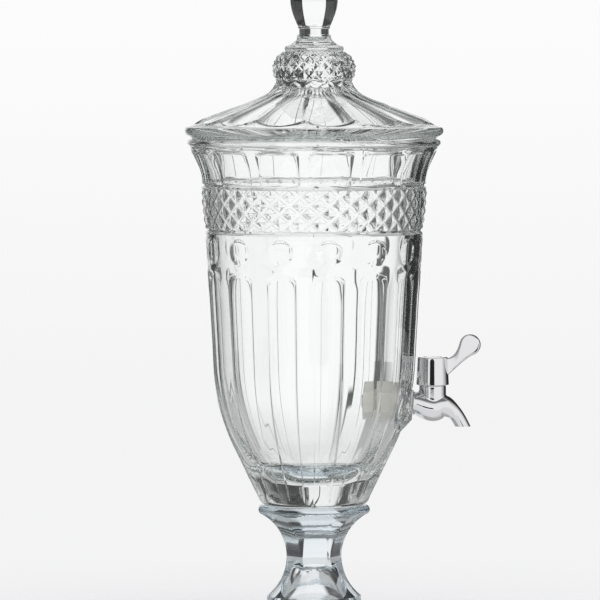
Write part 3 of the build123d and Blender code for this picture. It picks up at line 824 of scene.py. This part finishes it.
def ball_shape(angle, radius, height):
    """Cuts the ball's crossing grooves between small pyramids."""
    v = (height - KNOB_LAND) / (DISC_LOW - KNOB_LAND) * BALL_ROWS
    rise = pyramid(angle * BALL_DIAMONDS / (2 * math.pi), v, BALL_GROOVE)
    edge = ramp(height, *BALL_FOOT_RUN) * ramp(DISC_LOW - height, *BALL_TOP_RUN)
    return radius - BALL_CUT * (1 - rise) * edge, height


def drop_shape(angle, radius, height):
    """Gives the drop its six faces; the neck under it stays round."""
    flat = radius * math.cos(math.pi / DROP_SIDES) / math.cos(angle)
    return radius + (flat - radius) * soft_ramp(height, *DROP_FACES), height


def drop_radius(height):
    """Corner radius of the drop, which swells from the neck and closes in a crown."""
    if height < DROP_WIDEST:
        share = (height - NECK_TOP) / (DROP_WIDEST - NECK_TOP)
        return NECK_RADIUS + (DROP_RADIUS - NECK_RADIUS) * math.sin(share * math.pi / 2)
    share = (height - DROP_WIDEST) / (DROP_TOP - DROP_WIDEST)
    return DROP_RADIUS * math.sqrt(max(1 - share**CROWN_POWER, 0.0))


ball_curve = circle_through((LID_LAND[0], KNOB_LAND), BALL, (DISC_RADIUS, DISC_LOW))
ball_steps = BALL_COLUMNS * BALL_ROWS
ball_heights = [KNOB_LAND + (DISC_LOW - KNOB_LAND) * step / ball_steps for step in range(ball_steps + 1)]
ball_outline = [on_curve(ball_curve, height) for height in ball_heights]
knob_foot = straight((0, KNOB_LAND), (LID_LAND[0], KNOB_LAND), 6)
drop_foot = NECK_TOP + 2 * BEAD_HALF
disc_start = (DISC_RADIUS - 0.5, DISC_LOW + 0.1)
disc_end = (DISC_RADIUS - DISC_EDGE, DISC_TOP)
bead_end = (drop_radius(drop_foot), drop_foot)
collar_outline = (
    arc(disc_start, (DISC_RADIUS, (DISC_LOW + DISC_TOP) / 2), disc_end, 8)
    + arc(disc_end, COLLAR_SWEEP, (KNOB_COLLAR_RADIUS, KNOB_COLLAR_LOW + 1), 10)
    + rounded(
        (KNOB_COLLAR_RADIUS, KNOB_COLLAR_LOW), (KNOB_COLLAR_RADIUS, KNOB_COLLAR_HIGH),
        (NECK_RADIUS, KNOB_COLLAR_HIGH), COLLAR_EDGE, 3,
    )
    + straight((NECK_RADIUS, KNOB_COLLAR_HIGH), (NECK_RADIUS, NECK_TOP), 5)
    + arc((NECK_RADIUS, NECK_TOP), (BEAD_RADIUS, NECK_TOP + BEAD_HALF), bead_end, 6)
)
drop_shares = [math.sin(step / DROP_STEPS * math.pi / 2) for step in range(DROP_STEPS)]
drop_heights = [drop_foot + (DROP_TOP - drop_foot) * share for share in drop_shares]
drop_outline = [(drop_radius(height), height) for height in drop_heights] + [(0, DROP_TOP)]
half_drop = math.pi / DROP_SIDES
ball_angles = even_angles(-half_drop, half_drop, BALL_COLUMNS * BALL_DIAMONDS // DROP_SIDES)
knob_rows = (
    rows_of(knob_foot, ball_angles)
    + rows_of(ball_outline, ball_angles, ball_shape)
    + rows_of(collar_outline, ball_angles)
    + rows_of(drop_outline, ball_angles, drop_shape)
)
knob_piece = turned("glass_knob", knob_rows, DROP_SIDES, DROP_TURN, clear_glass, KNOB_CREASE)
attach(knob_piece, "lid")
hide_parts("lid_knob")

# Tap body: a brass casting, polished and plated. Its round run swells under the valve and bends down to
# an outlet that is cut flat, a neck holds the valve, and a threaded shank goes through the jar's wall.
TAP_AXIS = 83.2
TAP_SEAT = 69.8
# Sections of the run: reach and drop from the tap's centre, slope in degrees, radius, share of it across
RUN_SECTIONS = [
    (TAP_SEAT - TAP_AXIS, 0.0, 0.0, 8.1, 1.35), (0.0, 3.7, 4.0, 9.3, 1.28), (9.0, 2.6, 26.0, 7.4, 1.25),
    (15.6, 7.4, 48.0, 5.3, 1.1), (22.8, 20.0, 63.0, 5.05, 1.0),
]
WATERWAY_START = 1
SPOUT_BORE = 3.4
OUTLET_HEIGHT = 153.6
OUTLET_CUT = 20.0
BORE_OVERRUN = 5.0
VALVE_NECK_RADIUS = 9.4
VALVE_NECK_LOW = 171.5
VALVE_NECK_TOP = 182.3
VALVE_BORE = 6.5
VALVE_FLOOR = 159.5
RETAINER_BORE = 8.2
RETAINER_LOW = 179.7
SHANK_RADIUS = 5.5
SHANK_BORE = 3.5
SHANK_END = 30.4
SHANK_LEAD = 0.6
SHANK_TIP_RADIUS = 4.5
SHANK_OVERLAP = 3.0
THREAD_PITCH = 1.5
THREAD_DEPTH = 0.6
THREAD_FLANK = (0.1, 0.4)
ROWS_A_THREAD = 6
RUN_STEPS = 12
CASTING_GRAIN = 0.45
CASTING_POLISH = 10
POLISH_FACTOR = 0.5


def post(radius, low, high):
    """Round upright bar on the valve's axis."""
    up = Vector((0, 0, 1))
    return skin("post", [ring(Vector((TAP_AXIS, 0, height)), up, radius) for height in (low, high)])


def run_rings(sections, bore=None):
    """Rings along the tap's run, smooth from section to section; a bore gives them one radius."""
    knots = []
    for i, (reach, drop, slope, radius, width) in enumerate(sections):
        before, after = sections[max(i - 1, 0)], sections[min(i + 1, len(sections) - 1)]
        swell = (after[3] - before[3]) / math.hypot(after[0] - before[0], after[1] - before[1])
        turn = math.radians(slope)
        heading = Vector((math.cos(turn), -math.sin(turn), swell))
        knots.append((Vector((reach, -drop, radius)), heading, width))
    line = []
    for (start, leaving, width), (end, arriving, end_width) in zip(knots, knots[1:]):
        third = (end - start).length / 3
        handles = (start + leaving * third, end - arriving * third)
        stretch = interpolate_bezier(start, *handles, end, RUN_STEPS + 1)
        for step, point in enumerate(stretch[: None if end == knots[-1][0] else -1]):
            line.append((*point, width + (end_width - width) * soft_ramp(step, 0, RUN_STEPS)))
    rings = []
    for i, (reach, rise, radius, width) in enumerate(line):
        before, after = line[max(i - 1, 0)], line[min(i + 1, len(line) - 1)]
        along = Vector((after[0] - before[0], 0, after[1] - before[1])).normalized()
        centre = Vector((TAP_AXIS + reach, 0, TAP_HEIGHT + rise))
        rings.append(ring(centre, along, bore) if bore else ring(centre, along, radius, width))
    return rings


def thread_radius(place):
    """Radius of the shank's thread round a place on it, as a function of the angle."""
    def at(angle):
        turn = (place / THREAD_PITCH + angle / (2 * math.pi)) % 1.0
        return SHANK_RADIUS - THREAD_DEPTH * ramp(abs(turn - 0.5), *THREAD_FLANK)
    return at


tap_piece = skin("tap_casting", run_rings(RUN_SECTIONS))
combine(tap_piece, post(VALVE_NECK_RADIUS, VALVE_NECK_LOW, VALVE_NECK_TOP), "UNION")
casting = tap_piece.modifiers.new("casting", "REMESH")
casting.mode = "VOXEL"
casting.voxel_size = CASTING_GRAIN * MILLIMETRE
polish = tap_piece.modifiers.new("polish", "SMOOTH")
polish.factor = POLISH_FACTOR
polish.iterations = CASTING_POLISH
settle(tap_piece)
below_outlet = Vector((TAP_AXIS + RUN_SECTIONS[-1][0], 0, OUTLET_HEIGHT))
upwards = Vector((0, 0, 1))
outlet_rings = [ring(below_outlet - upwards * drop, upwards, OUTLET_CUT) for drop in (OUTLET_CUT, 0.0)]
combine(tap_piece, skin("cut", outlet_rings), "DIFFERENCE")
combine(tap_piece, skin("bore", run_rings(RUN_SECTIONS[WATERWAY_START:], SPOUT_BORE)), "DIFFERENCE")
shank_rows = int((TAP_SEAT - SHANK_END) / THREAD_PITCH * ROWS_A_THREAD)
shank_places = [SHANK_END + SHANK_LEAD + row * THREAD_PITCH / ROWS_A_THREAD for row in range(shank_rows)]
shank = [(SHANK_END, SHANK_TIP_RADIUS)] + [(place, thread_radius(place)) for place in shank_places]
combine(tap_piece, bar(shank + [(TAP_SEAT + SHANK_OVERLAP, SHANK_TIP_RADIUS)]), "UNION")
combine(tap_piece, bar([(SHANK_END - BORE_OVERRUN, SHANK_BORE), (TAP_AXIS, SHANK_BORE)]), "DIFFERENCE")
combine(tap_piece, post(VALVE_BORE, VALVE_FLOOR, VALVE_NECK_TOP + BORE_OVERRUN), "DIFFERENCE")
combine(tap_piece, post(RETAINER_BORE, RETAINER_LOW, VALVE_NECK_TOP + BORE_OVERRUN), "DIFFERENCE")
plated_metal, plating = finished(
    "bright_plating", (0.80, 0.80, 0.81), (0.74, 0.74, 0.76), 55.0, (0.03, 0.09), 0.03, 0.0005
)
plating.inputs["Metallic"].default_value = 1.0
coat(tap_piece, plated_metal)
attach(tap_piece, "jar")
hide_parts("tap_body")

# Tap handle: a plated casting, a slightly tapered cap with a lever that widens to a round paddle.
# Its socket sits on the valve's stem, under a screw.
CAP_LOW = 182.6
CAP_TOP = 202.2
CAP_LOW_RADIUS = 11.4
CAP_TOP_RADIUS = 10.5
CAP_EDGE = 0.9
CAP_CHAMFER = 0.3
SOCKET_RADIUS = 4.6
SOCKET_TOP = 192.1
SCREW_HOLE = 2.0
SCREW_SEAT = 197.0
SCREW_HEAD_HOLE = 3.7
COVER_HOLE = 6.6
COVER_SEAT = 200.6
PADDLE = (109.38, 210.7)
PADDLE_RADIUS = 7.4
PADDLE_TOP_ANGLE = math.radians(165)
PADDLE_LOW_ANGLE = math.radians(-70)
PADDLE_TIP_ANGLE = math.radians(42)
LEVER_THICKNESS = 4.2
LEVER_DRAFT = 0.6
LEVER_UPPER_ROOT = (91.5, 201.0)
LEVER_LOWER_ROOT = (91.5, 187.6)
LEVER_UPPER_START = Vector((6.5, 0.0))
LEVER_LOWER_START = Vector((5.0, 3.2))
PADDLE_APPROACH = 6.5
LEVER_STEPS = 24
TIP_STEPS = 32
PLATE_STEPS = 28
PLATE_EDGE = 1.4
PADDLE_CROWN = 0.05


def paddle_point(angle):
    """Point of the paddle's round edge."""
    return Vector((PADDLE[0] + PADDLE_RADIUS * math.cos(angle), PADDLE[1] + PADDLE_RADIUS * math.sin(angle)))


def lever_edge(root, leaving, angle, turning):
    """Edge of the lever from its root on the cap, round the paddle to its tip."""
    meeting = paddle_point(angle)
    arriving = Vector((-math.sin(angle), math.cos(angle))) * turning
    handles = (Vector(root) + leaving, meeting - arriving * PADDLE_APPROACH)
    bend = interpolate_bezier(Vector(root), *handles, meeting, LEVER_STEPS)
    shares = [math.sin(step / TIP_STEPS * math.pi / 2) for step in range(1, TIP_STEPS)]
    tip = [paddle_point(angle + (PADDLE_TIP_ANGLE - angle) * share) for share in shares]
    return [Vector((point[0], point[1])) for point in bend] + tip


def plate_ring(upper, lower, on_paddle):
    """Section of the lever between its edges: crowned faces with rounded edges, thinner towards the top."""
    middle = (upper + lower) / 2
    half = (upper - lower) / 2
    points = []
    for step in range(2 * PLATE_STEPS):
        share = math.sin(math.pi * (step / PLATE_STEPS - 0.5))
        place = middle + half * share
        from_centre = (place - Vector(PADDLE)).length
        depth = PADDLE_RADIUS - from_centre if on_paddle else (1 - abs(share)) * half.length
        rise = math.sqrt(1 - (1 - ramp(depth, 0, PLATE_EDGE)) ** 2)
        crown = 1 - PADDLE_CROWN * min(from_centre / PADDLE_RADIUS, 1.0) ** 2
        face = LEVER_THICKNESS / 2 * rise * crown * (1 - LEVER_DRAFT * share)
        points.append((place.x, face if step < PLATE_STEPS else -face, place.y))
    return points


upper_edge = lever_edge(LEVER_UPPER_ROOT, LEVER_UPPER_START, PADDLE_TOP_ANGLE, -1)
lower_edge = lever_edge(LEVER_LOWER_ROOT, LEVER_LOWER_START, PADDLE_LOW_ANGLE, 1)
edges = enumerate(zip(upper_edge, lower_edge))
lever = skin("lever", [plate_ring(upper, lower, step >= LEVER_STEPS) for step, (upper, lower) in edges])
cap_outline = (
    [(SOCKET_RADIUS, SOCKET_TOP), (SOCKET_RADIUS, CAP_LOW), (CAP_LOW_RADIUS - CAP_CHAMFER, CAP_LOW)]
    + [(CAP_LOW_RADIUS, CAP_LOW + CAP_CHAMFER)]
    + straight((CAP_LOW_RADIUS, CAP_LOW + 2 * CAP_CHAMFER), (CAP_TOP_RADIUS, CAP_TOP - CAP_EDGE), 8)
    + rounded((CAP_LOW_RADIUS, CAP_LOW), (CAP_TOP_RADIUS, CAP_TOP), (0, CAP_TOP), CAP_EDGE, 6)
    + [(COVER_HOLE, CAP_TOP), (COVER_HOLE, COVER_SEAT), (SCREW_HEAD_HOLE, COVER_SEAT)]
    + [(SCREW_HEAD_HOLE, SCREW_SEAT), (SCREW_HOLE, SCREW_SEAT), (SCREW_HOLE, SOCKET_TOP)]
    + [(SOCKET_RADIUS, SOCKET_TOP)]
)
QUARTERS = 4
quarter_angles = even_angles(0, 2 * math.pi / QUARTERS, 20)
on_valve = Matrix.Translation((TAP_AXIS * MILLIMETRE, 0, 0))


def turned_piece(name, outline, material, place):
    """Round piece from its outline, put on an axis of the tap."""
    piece = turned(name, rows_of(outline, quarter_angles), QUARTERS, 0.0, material)
    piece.data.transform(place)
    return piece


handle_piece = turned_piece("tap_lever_handle", cap_outline, plated_metal, on_valve)
combine(handle_piece, lever, "UNION")
coat(handle_piece, plated_metal)
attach(handle_piece, "tap_lever")
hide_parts("tap_handle")

# Screw cover: a plated button with a slight crown. It is turned, and pressed into the top of the handle
# over its screw.
COVER_RADIUS = 6.55
COVER_CROWN = 0.15
COVER_EDGE = 0.4
COVER_SIDE_TOP = 201.7
COVER_SHOULDER = (5.55, 202.09)
cover_outline = (
    [(0, COVER_SEAT)]
    + straight((COVER_RADIUS, COVER_SEAT), (COVER_RADIUS, COVER_SIDE_TOP), 2)
    + rounded((COVER_RADIUS, COVER_SEAT), (COVER_RADIUS, CAP_TOP - COVER_CROWN), (0, CAP_TOP), COVER_EDGE, 4)
    + straight(COVER_SHOULDER, (0, CAP_TOP), 5)
    + [(0, CAP_TOP)]
)
cover_piece = turned_piece("screw_button", cover_outline, plated_metal, on_valve)
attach(cover_piece, "tap_lever")
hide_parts("screw_cover")

# Washers: soft pale rings that seal the tap's shank at both faces of the jar's wall, and a slip ring
# of the nut's plastic between the inner one and the lock nut.
WASHER_HOLE = 5.7
WASHER_EDGE = 0.35
on_shank = Matrix.Translation((0, 0, TAP_HEIGHT * MILLIMETRE)) @ Matrix.Rotation(math.pi / 2, 4, "Y")
pale_silicone, silicone = finished(
    "pale_silicone", (0.84, 0.85, 0.83), (0.76, 0.77, 0.75), 90.0, (0.35, 0.5), 0.1, 0.0004
)
fill(pale_silicone.node_tree, silicone, {
    "Subsurface Weight": 0.3, "Subsurface Scale": 0.002, "Subsurface Radius": (1, 1, 0.95),
})
ivory_plastic, plastic = finished(
    "ivory_plastic", (0.93, 0.92, 0.84), (0.89, 0.88, 0.80), 120.0, (0.28, 0.42), 0.08, 0.0003
)
fill(ivory_plastic.node_tree, plastic, {
    "Subsurface Weight": 0.25, "Subsurface Scale": 0.003, "Subsurface Radius": (1, 1, 0.9),
})


def washer_outline(radius, start, end):
    """Outline of a flat ring on the shank with eased outer edges."""
    return (
        [(WASHER_HOLE, end), (WASHER_HOLE, start)]
        + rounded((WASHER_HOLE, start), (radius, start), (radius, end), WASHER_EDGE, 3)
        + rounded((radius, start), (radius, end), (WASHER_HOLE, end), WASHER_EDGE, 3)
        + [(WASHER_HOLE, end)]
    )


# Node, radius, both ends along the shank, material and slot of each ring
WASHERS = [
    ("outer_washer", 8.9, 68.6, 69.8, pale_silicone, "pale_silicone"),
    ("inner_washer", 13.0, 57.8, 59.8, pale_silicone, "pale_silicone"),
    ("nut_washer", 12.4, 56.4, 57.8, ivory_plastic, "ivory_plastic"),
]
for node, radius, start, end, material, slot in WASHERS:
    washer_piece = turned_piece(node + "_ring", washer_outline(radius, start, end), material, on_shank)
    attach(washer_piece, "jar")
    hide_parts(node)

# Lock nut: a long six-sided barrel of moulded ivory plastic inside the jar, with a narrow waist round its
# middle. It is screwed up the tap's shank against the slip ring.
NUT_END = 32.4
NUT_FACE = 56.4
NUT_CORNER = 14.4
NUT_SIDES = 6
NUT_TURN = math.pi / 6
NUT_HOLE = 5.6
NUT_WAIST = (43.8, 47.8)
NUT_WAIST_RADIUS = 8.0
NUT_WAIST_EDGE = 0.6
NUT_CHAMFER = 1.6
NUT_EDGE_BLEND = 0.8


def nut_shape(angle, radius, height):
    """Cuts the round barrel back to the nut's six faces, with eased corners."""
    share = radius / NUT_CORNER
    flat = NUT_CORNER * math.cos(math.pi / NUT_SIDES) / math.cos(angle)
    return (soft_min(NUT_CORNER, flat, NUT_EDGE_BLEND) * share if radius > NUT_HOLE else radius), height


nut_outline = (
    [(NUT_HOLE, NUT_FACE), (NUT_HOLE, NUT_END)]
    + rounded((NUT_HOLE, NUT_END), (NUT_CORNER, NUT_END), (NUT_CORNER, NUT_FACE), NUT_CHAMFER, 8)
    + [(NUT_CORNER, NUT_WAIST[0]), (NUT_WAIST_RADIUS, NUT_WAIST[0] + NUT_WAIST_EDGE)]
    + [(NUT_WAIST_RADIUS, NUT_WAIST[1] - NUT_WAIST_EDGE), (NUT_CORNER, NUT_WAIST[1])]
    + rounded((NUT_CORNER, NUT_END), (NUT_CORNER, NUT_FACE), (NUT_HOLE, NUT_FACE), NUT_CHAMFER, 8)
    + [(NUT_HOLE, NUT_FACE)]
)
nut_angles = even_angles(-math.pi / NUT_SIDES, math.pi / NUT_SIDES, 16)
nut_rows = rows_of(nut_outline, nut_angles, nut_shape)
nut_piece = turned("lock_nut_barrel", nut_rows, NUT_SIDES, NUT_TURN, ivory_plastic)
nut_piece.data.transform(on_shank)
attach(nut_piece, "jar")
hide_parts("lock_nut")

# Valve: the parts inside the tap keep their construction shapes. A moulded plug turns in the body with
# two rubber rings, under a steel retainer, and a steel screw holds the handle on its stem.
valve_plastic, _ = finished(
    "valve_plastic", (0.85, 0.85, 0.82), (0.80, 0.80, 0.77), 80.0, (0.35, 0.5), 0.05, 0.0003
)
seal_rubber, _ = finished(
    "seal_rubber", (0.05, 0.05, 0.05), (0.03, 0.03, 0.03), 150.0, (0.5, 0.7), 0.1, 0.0002
)
screw_steel, steel = finished(
    "screw_steel", (0.58, 0.57, 0.55), (0.50, 0.49, 0.48), 200.0, (0.25, 0.4), 0.1, 0.0002
)
steel.inputs["Metallic"].default_value = 1.0
inner_finishes = {
    "valve_plug": valve_plastic,
    "plug_ring_lower": seal_rubber,
    "plug_ring_upper": seal_rubber,
    "plug_retainer": screw_steel,
    "handle_screw": screw_steel,
}
for node, material in inner_finishes.items():
    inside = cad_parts[node]
    inside.data.materials.clear()
    inside.data.materials.append(material)

# Studio: a pale floor that runs off into a white backdrop, which the camera sees. Glass and plating mirror
# and bend other surroundings: a white window behind, dark and grey boards at the sides, white soft boxes in
# front with a dark gap between them, and a grey board overhead.
CAMERA_TURN = math.radians(4.9)
CAMERA_DISTANCE = 3.3
CAMERA_HEIGHT = 0.424
AIM_HEIGHT = 0.2415
AIM_ASIDE = -0.0098
FRAME_WIDTH = 0.42
SENSOR_WIDTH = 36.0
GLASS_BOUNCES = 32
# Window, boards and soft boxes: degrees from the back towards the tap's side, and brightness
SURROUNDINGS = [
    (-180, 1.0), (-152, 1.0), (-146, 0.2), (-116, 0.2), (-108, 0.5), (-74, 0.5), (-66, 0.08), (-27, 0.03),
    (-22, 1.0), (3, 1.0), (7, 0.03), (58, 0.03), (66, 0.3), (104, 1.0), (180, 1.0),
]
# Dark gap in front: its direction, flattened, and the cosines of its outer and inner edge
GAP_FLATTENING = Vector((1, 1, 2.2))
FRONT_GAP = (Vector((0, -1, 0)) * GAP_FLATTENING).normalized()
FRONT_GAP_EDGE = (math.cos(math.radians(18.5)), math.cos(math.radians(15.5)))
GAP_COLOUR = (0.02, 0.02, 0.02, 1)
# Board overhead and backdrop: the heights of a direction's tip where they change, and their brightness
OVERHEAD_EDGE = (0.75, 0.9)
OVERHEAD_COLOUR = (0.2, 0.205, 0.21, 1)
BACKDROP_EDGE = (-0.085, 0.0)
BACKDROP_LEVELS = (0.893, 0.97)
SCATTERED_COLOUR = (0.9, 0.9, 0.91, 1)

camera_data = bpy.data.cameras.new("camera")
camera = bpy.data.objects.new("camera", camera_data)
bpy.context.scene.collection.objects.link(camera)
right = Vector((math.cos(CAMERA_TURN), math.sin(CAMERA_TURN), 0))
towards = Vector((math.sin(CAMERA_TURN), -math.cos(CAMERA_TURN), 0))
aim = right * AIM_ASIDE + Vector((0, 0, AIM_HEIGHT))
eye = aim + towards * CAMERA_DISTANCE + Vector((0, 0, CAMERA_HEIGHT - AIM_HEIGHT))
camera.location = eye
camera.rotation_euler = (aim - eye).to_track_quat("-Z", "Y").to_euler()
camera_data.sensor_width = SENSOR_WIDTH
camera_data.lens = SENSOR_WIDTH * (aim - eye).length / FRAME_WIDTH
bpy.context.scene.camera = camera
bpy.context.scene.view_settings.view_transform = "Standard"
bpy.context.scene.cycles.max_bounces = GLASS_BOUNCES
bpy.context.scene.cycles.transmission_bounces = GLASS_BOUNCES
bpy.context.scene.cycles.glossy_bounces = GLASS_BOUNCES


def surroundings_group():
    """Shader group: brightness of the window, boards and soft boxes in a direction from the object."""
    sockets = {"Direction": "Vector"}
    group, given, made = new_group("surroundings", "ShaderNodeTree", sockets, {"Colour": "Color"})
    parts = add_node(group, "ShaderNodeSeparateXYZ", {"Vector": given["Direction"]}).outputs
    azimuth = calculated(group, "ARCTAN2", parts["X"], parts["Y"])
    levels = add_node(group, "ShaderNodeValToRGB", {"Fac": ranged(group, azimuth, (-math.pi, math.pi))})
    stops = levels.color_ramp.elements
    while len(stops) < len(SURROUNDINGS):
        stops.new(1.0)
    for stop, (degrees, level) in zip(stops, SURROUNDINGS):
        stop.position = degrees / 360 + 0.5
        stop.color = (level, level, level, 1)
    fill(group, made, {"Colour": levels.outputs["Color"]})
    return group


surroundings = surroundings_group()
world = bpy.data.worlds.new("studio")
bpy.context.scene.world = world
world.use_nodes = True
tree = world.node_tree
direction = add_node(tree, "ShaderNodeTexCoord").outputs["Generated"]
rise = add_node(tree, "ShaderNodeSeparateXYZ", {"Vector": direction}).outputs["Z"]
boards = add_group(tree, surroundings, {"Direction": direction}).outputs["Colour"]
flattened = add_node(tree, "ShaderNodeVectorMath", {0: direction, 1: GAP_FLATTENING}, "MULTIPLY")
pointing = add_node(tree, "ShaderNodeVectorMath", {0: flattened.outputs["Vector"]}, "NORMALIZE")
to_gap = add_node(tree, "ShaderNodeVectorMath", {0: pointing.outputs["Vector"], 1: FRONT_GAP}, "DOT_PRODUCT")
gap = ranged(tree, to_gap.outputs["Value"], FRONT_GAP_EDGE)
boards_and_gap = mixed(tree, gap, boards, GAP_COLOUR)
all_round = mixed(tree, ranged(tree, rise, OVERHEAD_EDGE), boards_and_gap, OVERHEAD_COLOUR)
ray = add_node(tree, "ShaderNodeLightPath").outputs
not_seen = mixed(tree, ray["Diffuse Depth"], all_round, SCATTERED_COLOUR)
backdrop = ranged(tree, rise, BACKDROP_EDGE, BACKDROP_LEVELS)
fill(tree, tree.nodes["Background"], {"Color": mixed(tree, ray["Is Camera Ray"], not_seen, backdrop)})

# Floor sizes: the disc in millimetres, and in metres where its glow begins and ends, and where the painted
# shade it shows in mirrors near the object gives way to the boards
FLOOR_RADIUS = 2400.0
FLOOR_HEIGHT = -0.5
FLOOR_COLUMNS = 96
GLOW_RUN = (0.15, 0.6)
BOARDS_RUN = (0.35, 1.1)
BOARDS_SHARE = (0.4, 1.0)
# Painted shade: near the object the floor glows at this darker tone for mirrored and transmitted rays, in
# place of its own shade
FLOOR_MIRRORED_SHADE = (0.75, 0.75, 0.75, 1)
FLOOR_SCATTERED = (0.85, 0.85, 0.86, 1)
FLOOR_SEEN = (0.9, 0.9, 0.905, 1)
floor_angles = even_angles(0, 2 * math.pi, FLOOR_COLUMNS)
floor_rows = rows_of([(FLOOR_RADIUS, FLOOR_HEIGHT), (0, FLOOR_HEIGHT)], floor_angles)
floor_piece = sector_piece("studio_floor", floor_rows)
floor_material, floor_shader = finished(
    "pale_floor", (0.86, 0.86, 0.87), (0.84, 0.84, 0.85), 3.0, (0.6, 0.7), 0.0, 0.001
)
tree = floor_material.node_tree
place = add_node(tree, "ShaderNodeTexCoord").outputs["Object"]
reach = add_node(tree, "ShaderNodeVectorMath", {0: place}, "LENGTH").outputs["Value"]
boards = add_group(tree, surroundings, {"Direction": place}).outputs["Colour"]
ray = add_node(tree, "ShaderNodeLightPath").outputs
far = ranged(tree, reach, BOARDS_RUN, BOARDS_SHARE, smooth=True)
# Painted shade near the object; farther out the floor glows with the boards' white and dark pattern, for
# rays that are not camera rays
mirrored = mixed(tree, far, FLOOR_MIRRORED_SHADE, boards)
not_seen = mixed(tree, ray["Diffuse Depth"], mirrored, FLOOR_SCATTERED)
tone = mixed(tree, ray["Is Camera Ray"], not_seen, FLOOR_SEEN)
glow = add_node(tree, "ShaderNodeEmission", {"Color": tone})
away = ranged(tree, reach, GLOW_RUN, smooth=True)
bright = calculated(tree, "MAXIMUM", away, ray["Is Glossy Ray"])
direct = calculated(tree, "SUBTRACT", 1.0, ray["Is Diffuse Ray"])
share = calculated(tree, "MULTIPLY", bright, direct)
surface = {"Fac": share, 1: floor_shader.outputs["BSDF"], 2: glow.outputs["Emission"]}
floor_mix = add_node(tree, "ShaderNodeMixShader", surface)
fill(tree, tree.nodes["Material Output"], {"Surface": floor_mix.outputs["Shader"]})
floor_piece.data.materials.append(floor_material)

lamp_data = bpy.data.lights.new("top_soft_box", "AREA")
lamp_data.shape = "RECTANGLE"
lamp_data.size = 1.2
lamp_data.size_y = 0.8
lamp_data.energy = 7.0
lamp = bpy.data.objects.new("top_soft_box", lamp_data)
lamp.location = (0.3, -0.4, 1.6)
lamp.rotation_euler = (Vector((0, 0, 0.2)) - lamp.location).to_track_quat("-Z", "Y").to_euler()
lamp.visible_glossy = False
lamp.visible_transmission = False
bpy.context.scene.collection.objects.link(lamp)
